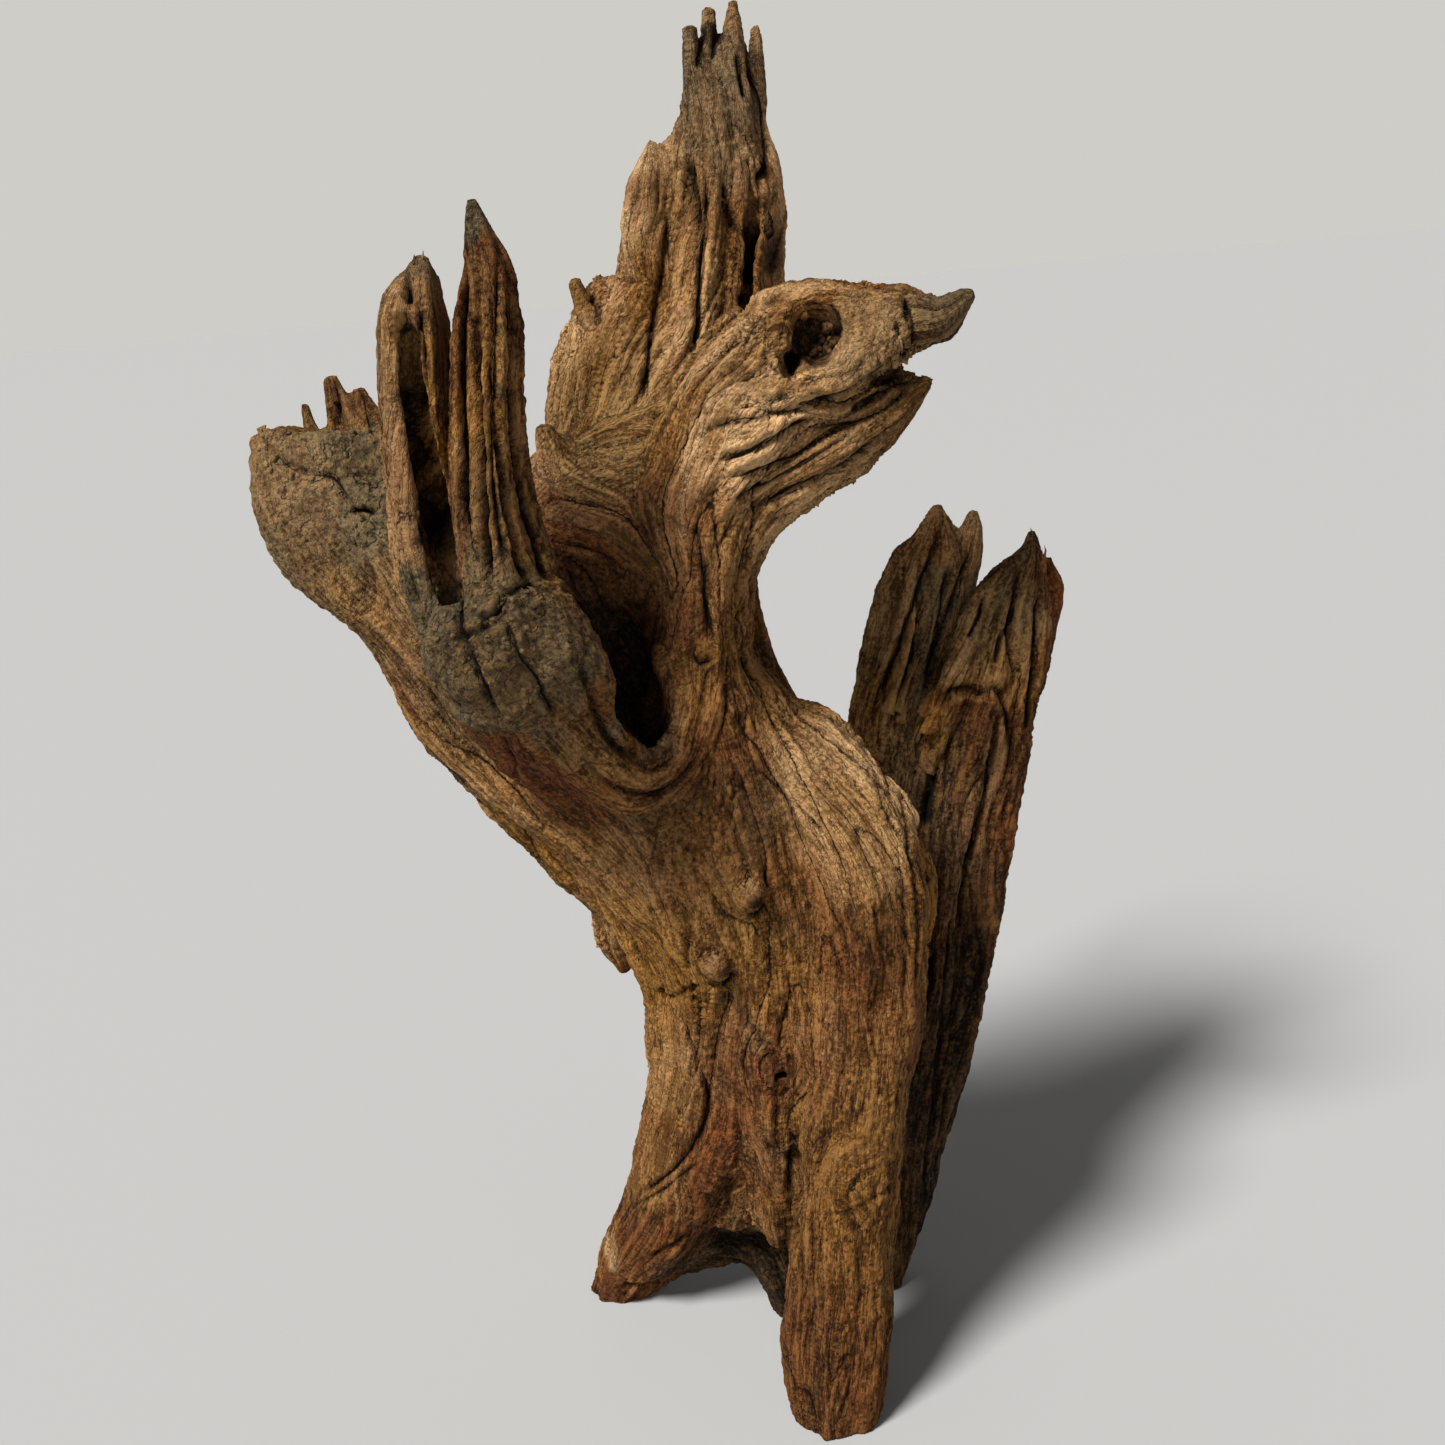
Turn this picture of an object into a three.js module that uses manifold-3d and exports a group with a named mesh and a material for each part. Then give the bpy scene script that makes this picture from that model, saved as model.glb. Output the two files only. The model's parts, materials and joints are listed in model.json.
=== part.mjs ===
// A piece of driftwood that stands on the ends of its own roots.
// One root stock, split at its main forks into fifteen pieces that meet face to face.
// Millimetres, +Z up, -Y towards the side with the burl and the front leg.
// The origin is the middle of the flat under the front leg.

import * as THREE from 'three';
import { mergeVertices } from 'three/addons/utils/BufferGeometryUtils.js';
import Module from 'manifold-3d';

const wasm = await Module();
wasm.setup();

// Clear space kept between two pieces that meet at a fork.
const FORK_GAP = 0.36;
// A ring of facets about this far along a limb. A fluted limb has two facets to each flute.
const RING_STEP = 20;
const SMOOTH_SIDES = 6;
// A limb's end is closed by a low cone, this share of its thickness high.
const END_CROWN = 0.35;
// The flutes fade in and out along a limb by this share, once every 2 pi times this length.
const FLUTE_FADE = 0.5;
const FADE_LENGTH = 23;
// A weaker set of fewer flutes and a broad wave wind round the limb. Each has a strength, a length
// in which it turns by one radian, and a start that differs from limb to limb.
const MINOR_FLUTE = 0.6;
const MINOR_FEWER = 2;
const MINOR_TWIST = 40;
const MINOR_START = 2.9;
const BROAD_WAVE = 0.4;
const BROAD_CRESTS = 3;
const BROAD_TWIST = 60;
const BROAD_START = 4.1;
const PHASE_RUN = 10;
// The ground that cuts the feet flat.
const GROUND_SIZE = 600;
const GROUND_DEPTH = 80;
const ROUGHNESS = 0.9;

const FRONT = [0, -1, 0];
const BACK = [0, 1, 0];
const UP = [0, 0, 1];
const SMOOTH = [0, 0];

// A limb is a spine of points [x, y, z, half width, half depth], the direction that its depth faces,
// and its flutes [how many, share of the thickness].
function limb(cuts, face, flutes, spine) {
  const [x, , z] = spine[0];
  return { cuts, face, flutes, spine, phase: (x + z) / PHASE_RUN };
}

function add(face, flutes, spine) {
  return limb(false, face, flutes, spine);
}

function cut(face, flutes, spine) {
  return limb(true, face, flutes, spine);
}

// The deep pocket between the burl and the neck hollows every piece round it.
const POCKET = cut(FRONT, SMOOTH, [
  [-64, 8, 330, 7, 16], [-58, 16, 312, 10, 22], [-52, 20, 292, 11.5, 28], [-47.5, 24, 274, 9, 22],
  [-45.5, 24, 262, 4, 10]
]);

// The pieces from the root stock outwards: each one gives way to those before it.
const PIECES = {
  trunk: {
    tone: '#8a5b3c',
    limbs: {
      root_stock: add(FRONT, [9, 0.05], [
        [-38, 70, 52, 26, 15], [-31, 66, 90, 28, 21], [-26, 61, 130, 31.5, 24], [-20, 56, 170, 42, 27],
        [-19, 53, 205, 48, 29], [-20, 50, 235, 47, 30], [-24, 49, 258, 34, 28], [-24, 48, 272, 20, 24]
      ]),
      web: add(FRONT, [6, 0.05], [
        [-14, 52, 50, 9, 12], [-11, 47, 78, 14, 15], [-8, 42, 110, 18, 17], [-4, 42, 150, 22, 18],
        [0, 46, 190, 24, 20], [0, 50, 222, 18, 18]
      ]),
      rear_web: add(FRONT, [6, 0.06], [
        [8, 72, 44, 12, 9], [16, 72, 80, 20, 13], [23, 74, 120, 23, 15], [26, 76, 160, 24, 16],
        [25, 74, 195, 22, 16], [18, 68, 222, 14, 12]
      ]),
      pocket_lip: add(FRONT, SMOOTH, [
        [-72, 0, 278, 8, 8], [-63, 5, 263, 8, 8], [-52, 10, 254, 8, 8], [-40, 16, 256, 8, 8],
        [-31, 23, 268, 8, 8], [-27, 30, 286, 8, 9], [-25, 34, 310, 8, 9]
      ]),
      knob_upper: add(UP, SMOOTH, [
        [-15, 40, 207, 7, 7], [-15, 23, 207, 5.4, 5.8], [-15, 17, 206.5, 3.8, 4.2],
        [-15, 13.5, 207, 1.6, 1.8]
      ]),
      knob_lower: add(UP, SMOOTH, [
        [-30, 46, 180, 7, 7], [-30, 28, 179, 5.4, 5.4], [-30, 21.5, 179, 3.8, 4],
        [-30, 18, 179.5, 1.6, 1.8]
      ]),
      edge_flake: add(FRONT, SMOOTH, [
        [-58, 60, 196, 12, 10], [-65, 61, 184, 11, 9], [-66.5, 62, 174, 9.5, 7],
        [-66, 62, 166, 6, 4.5], [-67, 62, 161, 2.3, 2.5]
      ]),
      pocket: POCKET,
      trunk_dimple: cut(FRONT, SMOOTH, [
        [-6, 24, 96, 6, 8], [-4, 24, 78, 4, 7]
      ]),
      knot_hole: cut(UP, SMOOTH, [
        [-10.5, 18, 132.5, 2.6, 2.6], [-10.5, 34, 130, 1.8, 1.8]
      ]),
      back_groove: cut(BACK, SMOOTH, [
        [-22, 100, 236, 5, 8], [-30, 96, 190, 7, 12], [-24, 96, 140, 6, 12], [-12, 100, 96, 4, 8]
      ]),
    },
  },
  neck: {
    tone: '#8c6140',
    limbs: {
      neck: add(FRONT, [6, 0.05], [
        [-20, 50, 236, 34, 26], [-23, 49, 262, 24, 26], [-24, 48, 290, 14, 24], [-22, 50, 318, 16, 22],
        [-25, 56, 338, 22, 19]
      ]),
      pocket: POCKET,
    },
  },
  saddle: {
    tone: '#86663f',
    limbs: {
      saddle: add(FRONT, [8, 0.05], [
        [-92, 66, 292, 28, 20], [-74, 68, 322, 28, 20], [-50, 70, 340, 28, 20], [-26, 66, 344, 26, 22]
      ]),
      pocket_back: add(FRONT, [6, 0.04], [
        [-52, 66, 240, 30, 20], [-52, 70, 280, 30, 16], [-50, 72, 320, 28, 16]
      ]),
      cheek: add(FRONT, SMOOTH, [
        [-66, 62, 338, 18, 16], [-48, 58, 328, 18, 16], [-34, 54, 312, 17, 16], [-26, 52, 292, 14, 16]
      ]),
      saddle_spur: add(FRONT, SMOOTH, [
        [-66, 62, 350, 9, 9], [-70, 57, 360, 5.5, 5.5], [-72, 54, 368, 3, 3]
      ]),
      pocket: POCKET,
    },
  },
  front_leg: {
    tone: '#96694a',
    limbs: {
      leg: add(FRONT, [7, 0.05], [
        [0, 1, -6, 15, 12], [1, 6, 16, 19, 16], [4, 12, 45, 19, 18], [10, 20, 80, 18, 19],
        [16, 26, 118, 18, 20], [22, 30, 157, 20, 22], [27, 34, 193, 21, 24], [25, 38, 218, 21, 24],
        [13, 44, 237, 17, 22], [-3, 48, 250, 15, 20], [-16, 50, 266, 12, 16]
      ]),
    },
  },
  left_foot: {
    tone: '#8f5f42',
    limbs: {
      foot: add(FRONT, [7, 0.06], [
        [-31, 64, 112, 26, 22], [-44, 68, 78, 25, 22], [-59, 75, 46, 21, 18], [-75, 81, 20, 16, 13],
        [-89, 84, -4, 10, 8]
      ]),
    },
  },
  dark_root: {
    tone: '#3f3a36',
    limbs: {
      inner_root: add(FRONT, [6, 0.09], [
        [-34, 80, 92, 22, 11], [-36, 82, 56, 24, 10], [-36, 82, 36, 20, 9]
      ]),
      root_bridge: add(FRONT, [5, 0.1], [
        [-66, 78, 30, 15, 11], [-50, 80, 30, 17, 10], [-34, 79, 30, 17, 10], [-22, 74, 23, 13, 9],
        [-15, 66, 8, 9, 8], [-14, 63, -5, 7, 7]
      ]),
    },
  },
  left_branch: {
    tone: '#6f5f49',
    limbs: {
      branch: add(FRONT, [8, 0.045], [
        [-10, 54, 185, 36, 26], [-48, 54, 235, 44, 28], [-88, 58, 284, 45, 27],
        [-119, 63, 322, 34.5, 23], [-141, 67, 350, 34.5, 19], [-147, 69, 378, 26.5, 14]
      ]),
      branch_end: cut(FRONT, [5, 0.04], [
        [-195, 70, 394, 25, 34], [-168, 70, 396.5, 21, 34], [-140, 70, 392, 22, 34],
        [-105, 70, 392, 18, 34]
      ]),
      rim_shard_a: add(FRONT, SMOOTH, [
        [-151, 78, 352, 6, 5], [-157, 85, 370, 3, 3], [-159, 87, 381, 1.6, 1.6]
      ]),
      rim_shard_b: add(FRONT, SMOOTH, [
        [-138, 78, 348, 9, 6], [-145, 84, 372, 6, 4], [-148, 86, 389, 3, 2.5]
      ]),
      rim_shard_c: add(FRONT, SMOOTH, [
        [-126, 78, 344, 10, 6], [-134, 84, 366, 7, 4], [-139, 86, 384, 2.5, 2]
      ]),
    },
  },
  burl: {
    tone: '#5a5049',
    limbs: {
      knuckle: add(FRONT, [7, 0.04], [
        [-52, 54, 248, 28, 30], [-66, 28, 276, 30, 30], [-80, 4, 299, 29, 28], [-88, -12, 310, 24, 24],
        [-91, -20, 314, 17, 17]
      ]),
      pocket: POCKET,
    },
  },
  left_spire: {
    tone: '#80583a',
    limbs: {
      left_horn: add([0.3, -1, 0], [5, 0.1], [
        [-99, 8, 300, 12, 12], [-105, 3, 330, 12, 11], [-106, 3, 355, 10.5, 10],
        [-104.5, 4, 380, 10.5, 9], [-102, 5, 402, 10.3, 8], [-100.6, 5, 411, 9.3, 6.5],
        [-98, 5, 418, 6.3, 4], [-96, 5, 424.8, 1.9, 1.8]
      ]),
      horn_channel: cut(FRONT, SMOOTH, [
        [-96, -8, 314, 5, 9], [-101, -8, 350, 5, 10], [-103, -6, 378, 3.5, 9], [-102, -2, 400, 2, 6]
      ]),
    },
  },
  right_spire: {
    tone: '#85593c',
    limbs: {
      right_horn: add(FRONT, [5, 0.11], [
        [-76, 4, 298, 17, 14], [-81, -3, 325, 15, 13], [-84, -4, 350, 12.5, 12],
        [-82.5, -2, 378, 10.5, 11], [-79.2, 0, 402, 10, 9], [-76.8, 0, 418, 7.6, 6],
        [-78.2, 0, 430, 4.2, 3.5], [-79, 0, 439, 1.4, 1.3]
      ]),
    },
  },
  head_branch: {
    tone: '#94704a',
    limbs: {
      head: add(FRONT, [8, 0.04], [
        [-24, 54, 316, 14, 18], [-14, 51, 342, 26, 21], [2, 50, 364, 33, 22], [19, 51, 376, 33, 21],
        [36, 51, 385, 25, 17], [50, 51, 391, 12.5, 12], [62, 50, 392.5, 7, 7], [73, 50, 400, 2, 2.2]
      ]),
      brow: add(FRONT, SMOOTH, [
        [20, 52, 397, 9, 12], [36, 52, 397, 7, 10], [49, 51, 397.5, 4.5, 6], [57, 50, 396, 2.5, 4]
      ]),
      lower_jaw: add(FRONT, [5, 0.08], [
        [8, 50, 350, 14, 16], [28, 50, 358, 13, 14], [44, 49, 365, 8.5, 10], [57, 48, 373, 2.2, 4]
      ]),
      eye_socket: cut(FRONT, SMOOTH, [
        [12, 22, 390, 10, 7], [26, 23, 394, 13, 9], [42, 26, 398, 7, 6]
      ]),
      eye: cut(UP, [3, 0.12], [
        [21, 20, 391.5, 11, 12], [20, 34, 391, 10, 11], [18, 44, 390, 5, 5.5]
      ]),
      eye_pit: cut(UP, SMOOTH, [
        [9.5, 20, 383.5, 3.4, 5.5], [11, 34, 383, 3.4, 5], [13, 50, 382, 2.4, 3.5]
      ]),
      jaw_slit: cut(FRONT, SMOOTH, [
        [22, 26, 371, 0.8, 4], [38, 30, 375, 1.2, 8], [50, 40, 378.7, 2.3, 16],
        [64, 46, 382.5, 4.5, 20]
      ]),
    },
  },
  tall_branch: {
    tone: '#8a6642',
    limbs: {
      slab: add(FRONT, [8, 0.08], [
        [-42, 66, 322, 20, 16], [-45, 74, 348, 27, 18], [-38, 83, 374, 31.5, 16],
        [-21, 89, 394, 32, 14], [-15.5, 91, 404, 26.5, 13], [-13.5, 92, 415, 25, 13],
        [-10.5, 94, 430, 24, 12], [-7.8, 95, 445, 21.5, 11], [-5.3, 95, 455, 15, 10],
        [-3, 95, 468, 11.5, 9], [-2, 95.5, 477, 11, 6], [-3, 97, 487, 8, 2.8]
      ]),
      slab_shoulder: add(FRONT, [3, 0.08], [
        [-24, 88, 404, 9, 8], [-29.5, 90, 424, 10.5, 9], [-29, 90, 441, 9, 8], [-27.5, 90, 451, 5, 6],
        [-27, 91, 457, 1.8, 3]
      ]),
      flap: add(FRONT, [4, 0.08], [
        [4, 89, 390, 6, 9], [5.5, 93, 412, 4.3, 8], [10.3, 95, 434, 5.5, 7], [12, 95, 446, 4.2, 5],
        [9.6, 95, 460, 3.2, 3], [10.2, 95, 470, 3.2, 2.6], [10.7, 95, 481, 2.7, 2.2],
        [11.4, 95, 492, 1.1, 1.3]
      ]),
      flap_groove: cut(FRONT, SMOOTH, [
        [0, 76, 396, 1.6, 12], [4, 79, 425, 2.4, 12], [5, 82, 448, 1.2, 8]
      ]),
      tip_a: add(FRONT, SMOOTH, [
        [-8, 94, 455, 5, 5], [-11, 93.5, 476, 3.6, 4], [-11, 93.5, 492.5, 2.5, 2.5]
      ]),
      tip_b: add(FRONT, SMOOTH, [
        [-5, 96, 460, 4, 4], [-5, 95.5, 480, 3.2, 3.5], [-4.2, 95.5, 498.5, 2.4, 2]
      ]),
      tip_c: add(FRONT, SMOOTH, [
        [1, 94, 460, 6, 5], [2.6, 94, 480, 4.2, 4], [3.6, 95, 492, 3.2, 2.6],
        [4.2, 95, 500.5, 1.3, 1.3]
      ]),
      peg: add(FRONT, SMOOTH, [
        [-47, 83, 388, 5, 5], [-55, 85, 403, 3.2, 3.2], [-58.5, 85, 414.5, 2.3, 2.3]
      ]),
    },
  },
  rear_slab: {
    tone: '#6b4a3a',
    limbs: {
      slab_front: add([0.25, -1, 0], [7, 0.09], [
        [24, 74, -4, 9, 8], [32, 77, 35, 15, 10], [42, 81, 80, 19.5, 12], [53, 85, 121, 20, 13],
        [63, 89, 164, 21.5, 13], [72, 93, 205, 21.5, 12], [81, 97, 244, 21, 11],
        [91, 101, 272, 18.5, 9], [98, 103, 290, 12.5, 7], [102.5, 104, 301, 5, 4],
        [103.5, 104, 309, 1.5, 1.5]
      ]),
      slab_edge: add([0.25, -1, 0], SMOOTH, [
        [98, 101, 250, 7, 6], [108, 105, 274, 5, 5], [112.3, 106, 286, 3.4, 3.5],
        [110, 106, 298, 1.3, 1.3]
      ]),
    },
  },
  back_slab: {
    tone: '#57503f',
    limbs: {
      slab_back: add([0.2, -1, 0], [6, 0.09], [
        [36, 92, 170, 12, 9], [42, 98, 215, 17, 10], [50, 102, 250, 19, 9], [60, 106, 280, 18, 8],
        [66.5, 108, 302, 14, 6], [68, 108, 314, 6.5, 4], [68.5, 108, 322, 1.8, 1.8]
      ]),
      slab_back_tip: add([0.2, -1, 0], SMOOTH, [
        [70, 109, 280, 8, 6], [78, 110, 298, 7, 5], [81.5, 110, 311, 4.6, 3],
        [82.5, 110, 318, 2.2, 1.6]
      ]),
    },
  },
  back_slat: {
    tone: '#7a5539',
    limbs: {
      slat: add([0.5, -1, 0], [5, 0.07], [
        [9, 72, 236, 9, 10], [-4, 72, 272, 6, 9], [-10, 72, 300, 6, 9], [-12, 72, 326, 8, 10],
        [-18, 70, 346, 8, 10]
      ]),
    },
  },
};

// The share by which the flutes push a limb's skin out or in, at an angle round it.
function flutePush(shape, angle, along) {
  const [count, share] = shape.flutes;
  const strength = 1 + FLUTE_FADE * Math.sin(along / FADE_LENGTH + shape.phase);
  const main = strength * Math.cos(count * angle);
  const minorTurn = along / MINOR_TWIST + MINOR_START * shape.phase;
  const minor = MINOR_FLUTE * Math.sin((count - MINOR_FEWER) * angle + minorTurn);
  const broadTurn = along / BROAD_TWIST + BROAD_START * shape.phase;
  const broad = BROAD_WAVE * Math.sin(BROAD_CRESTS * angle + broadTurn);
  return share * (main + minor + broad);
}

// The closed skin of one limb, swollen by grow on every side.
function loft(shape, grow) {
  const route = new THREE.CatmullRomCurve3(
    shape.spine.map(([x, y, z]) => new THREE.Vector3(x, y, z)), false, 'catmullrom', 0.5);
  const girth = new THREE.CatmullRomCurve3(
    shape.spine.map(([, , , w, d]) => new THREE.Vector3(w, d, 0)), false, 'catmullrom', 0.5);
  const face = new THREE.Vector3(...shape.face);
  const length = route.getLength();
  const sides = Math.max(2 * shape.flutes[0], SMOOTH_SIDES);
  const rings = Math.max(shape.spine.length, Math.round(length / RING_STEP) + 1);
  const vertices = [];
  const triangles = [];

  for (let ring = 0; ring < rings; ring += 1) {
    const share = ring / (rings - 1);
    const centre = route.getPoint(share);
    const size = girth.getPoint(share);
    const ahead = route.getTangent(share);
    const deep = face.clone().addScaledVector(ahead, -face.dot(ahead)).normalize();
    const wide = new THREE.Vector3().crossVectors(ahead, deep);
    for (let side = 0; side < sides; side += 1) {
      const angle = side / sides * 2 * Math.PI;
      const swell = 1 + flutePush(shape, angle, share * length);
      const point = centre.clone()
        .addScaledVector(wide, Math.cos(angle) * (size.x * swell + grow))
        .addScaledVector(deep, Math.sin(angle) * (size.y * swell + grow));
      vertices.push(point.x, point.y, point.z);
    }
  }

  for (let ring = 0; ring < rings - 1; ring += 1) {
    for (let side = 0; side < sides; side += 1) {
      const a = ring * sides + side;
      const b = ring * sides + (side + 1) % sides;
      triangles.push(a, b + sides, b, a, a + sides, b + sides);
    }
  }

  for (const end of [0, 1]) {
    const outward = route.getTangent(end).multiplyScalar(end === 0 ? -1 : 1);
    const size = girth.getPoint(end);
    const crown = route.getPoint(end)
      .addScaledVector(outward, END_CROWN * Math.min(size.x, size.y) + grow);
    const middle = vertices.length / 3;
    const first = end * (rings - 1) * sides;
    vertices.push(crown.x, crown.y, crown.z);
    for (let side = 0; side < sides; side += 1) {
      const here = first + side;
      const next = first + (side + 1) % sides;
      triangles.push(...(end === 0 ? [middle, here, next] : [middle, next, here]));
    }
  }

  return toSolid(vertices, triangles);
}

function toSolid(vertices, triangles) {
  return new wasm.Manifold(new wasm.Mesh({
    numProp: 3,
    vertProperties: new Float32Array(vertices),
    triVerts: new Uint32Array(triangles),
  }));
}

function groundBlock() {
  const box = new THREE.BoxGeometry(GROUND_SIZE, GROUND_SIZE, GROUND_DEPTH);
  box.translate(0, 0, -GROUND_DEPTH / 2);
  box.deleteAttribute('normal');
  box.deleteAttribute('uv');
  const merged = mergeVertices(box);
  return toSolid(merged.attributes.position.array, merged.index.array);
}

// The limbs of one piece, joined and hollowed in the order that they are listed in.
function shapePiece(limbs) {
  let solid = null;
  for (const shape of limbs) {
    const skin = loft(shape, 0);
    if (shape.cuts) {
      solid = solid.subtract(skin);
    } else {
      solid = solid === null ? skin : solid.add(skin);
    }
  }
  return solid;
}

// The room that one piece takes from the pieces after it: its limbs, swollen by the gap.
function claimRoom(limbs) {
  const grown = limbs.filter((shape) => !shape.cuts).map((shape) => loft(shape, FORK_GAP));
  return wasm.Manifold.union(grown);
}

// A cut can leave crumbs beside the piece itself; only the piece stays.
function largestBody(solid) {
  const bodies = solid.decompose();
  bodies.sort((one, other) => other.volume() - one.volume());
  return bodies[0];
}

function toGeometry(solid) {
  const { vertProperties, triVerts } = solid.getMesh();
  const geometry = new THREE.BufferGeometry();
  geometry.setAttribute('position', new THREE.BufferAttribute(new Float32Array(vertProperties), 3));
  geometry.setIndex(new THREE.BufferAttribute(new Uint32Array(triVerts), 1));
  geometry.computeVertexNormals();
  return geometry;
}

const group = new THREE.Group();
let taken = groundBlock();
for (const [name, { tone, limbs }] of Object.entries(PIECES)) {
  const shapes = Object.values(limbs);
  const solid = largestBody(shapePiece(shapes).subtract(taken));
  const material = new THREE.MeshStandardMaterial({ color: tone, roughness: ROUGHNESS, metalness: 0 });
  const mesh = new THREE.Mesh(toGeometry(solid), material);
  mesh.name = name;
  group.add(mesh);
  taken = taken.add(claimRoom(shapes));
}

export default group;
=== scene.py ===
# %% [markdown]
# # Driftwood
#
# Driftwood is one grown thing: roots, a stock and branches that flow into each other, with every
# soft part of the grain washed and worn away. It could be sculpted by hand, but then nothing in it
# could be changed later. Here it is grown by rule instead. A short list of limbs gives the form, a
# distance field melts them together, a grain direction is worked out all through the wood, and
# noise combed along that grain carves the grooves. The lesson goes in that order.

# %% Load the frame
import json
import math
import time

import bpy
import numpy as np
from mathutils import Matrix, Vector


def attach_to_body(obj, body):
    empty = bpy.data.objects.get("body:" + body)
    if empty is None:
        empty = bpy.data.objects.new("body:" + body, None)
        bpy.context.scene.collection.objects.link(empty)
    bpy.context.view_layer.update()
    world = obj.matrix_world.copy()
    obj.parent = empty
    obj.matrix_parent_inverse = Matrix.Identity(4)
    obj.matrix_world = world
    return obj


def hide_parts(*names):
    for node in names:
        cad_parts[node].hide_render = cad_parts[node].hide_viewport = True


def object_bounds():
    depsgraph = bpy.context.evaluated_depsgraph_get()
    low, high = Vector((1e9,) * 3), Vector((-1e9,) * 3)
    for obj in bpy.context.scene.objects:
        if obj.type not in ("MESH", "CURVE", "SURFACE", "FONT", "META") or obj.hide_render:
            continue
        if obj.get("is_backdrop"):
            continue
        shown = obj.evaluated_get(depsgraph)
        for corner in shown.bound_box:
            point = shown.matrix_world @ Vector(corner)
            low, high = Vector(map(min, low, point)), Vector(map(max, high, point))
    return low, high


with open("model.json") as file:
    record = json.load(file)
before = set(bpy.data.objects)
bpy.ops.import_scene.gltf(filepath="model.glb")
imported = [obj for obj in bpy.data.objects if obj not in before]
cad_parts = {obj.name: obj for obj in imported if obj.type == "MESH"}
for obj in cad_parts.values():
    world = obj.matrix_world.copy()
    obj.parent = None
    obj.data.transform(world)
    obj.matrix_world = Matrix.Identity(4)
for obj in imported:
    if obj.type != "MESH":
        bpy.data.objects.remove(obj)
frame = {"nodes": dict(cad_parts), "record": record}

STARTED = time.time()
MM = 0.001
SEED = 7
CAD_BOX = [list(corner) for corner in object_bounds()]


def note(*words):
    print(*words, "-", round(time.time() - STARTED, 1), "s")


note("frame of", len(frame["nodes"]), "nodes, box", CAD_BOX)

# %% [markdown]
# ## The camera
#
# The photograph was taken from a little above, with the camera rolled by a few degrees. Its numbers
# come first, because details are placed by the pixel where they show, and the camera turns a point
# of the wood into a pixel.

# %% Camera numbers
PHOTO_SIZE = 1445
FOCAL = 1446.0
TILT = math.radians(17)
ROLL = math.radians(5)
EYE = np.array([-20.45, -442.2, 411.28])

AHEAD = np.array([0, math.cos(TILT), -math.sin(TILT)])
LEVEL_RIGHT = np.array([1.0, 0, 0])
LEVEL_UP = np.array([0, math.sin(TILT), math.cos(TILT)])
RIGHT = LEVEL_RIGHT * math.cos(ROLL) - LEVEL_UP * math.sin(ROLL)
UP = LEVEL_RIGHT * math.sin(ROLL) + LEVEL_UP * math.cos(ROLL)


def to_pixels(points):
    """The pixel and the distance of each point, in millimetres along the view."""
    away = points - EYE
    depth = away @ AHEAD
    x = PHOTO_SIZE / 2 + FOCAL * (away @ RIGHT) / depth
    y = PHOTO_SIZE / 2 - FOCAL * (away @ UP) / depth
    return np.stack([x, y], 1), depth


# %% Camera object
def add_camera():
    data = bpy.data.cameras.new("camera")
    data.sensor_width = 36.0
    data.lens = FOCAL / PHOTO_SIZE * data.sensor_width
    data.clip_start = 0.02
    data.clip_end = 50
    camera = bpy.data.objects.new("camera", data)
    bpy.context.scene.collection.objects.link(camera)
    turn = Matrix([[RIGHT[i], UP[i], -AHEAD[i]] for i in range(3)]).to_4x4()
    camera.matrix_world = Matrix.Translation(Vector(EYE) * MM) @ turn
    bpy.context.scene.camera = camera
    return camera


note("camera", add_camera().name)

# %% [markdown]
# ## The limbs
#
# Each limb is a row of points: where its middle is, and how far it reaches to the side and
# in depth, all in millimetres. A cut is a limb of air. The list is in growing order, so a splinter
# that stands in a cut comes after it. The same list makes the CAD pieces, so both have one form.

# %% Limb list
FRONT = (0, -1, 0)
BACK = (0, 1, 0)
TOP = (0, 0, 1)
SMOOTH = (0, 0)
LIMB_ROWS = []


def add(name, nodes, blend, face, flutes, spine):
    LIMB_ROWS.append((True, name, nodes, blend, face, flutes, spine))


def cut(name, nodes, blend, face, flutes, spine):
    LIMB_ROWS.append((False, name, nodes, blend, face, flutes, spine))


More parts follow.
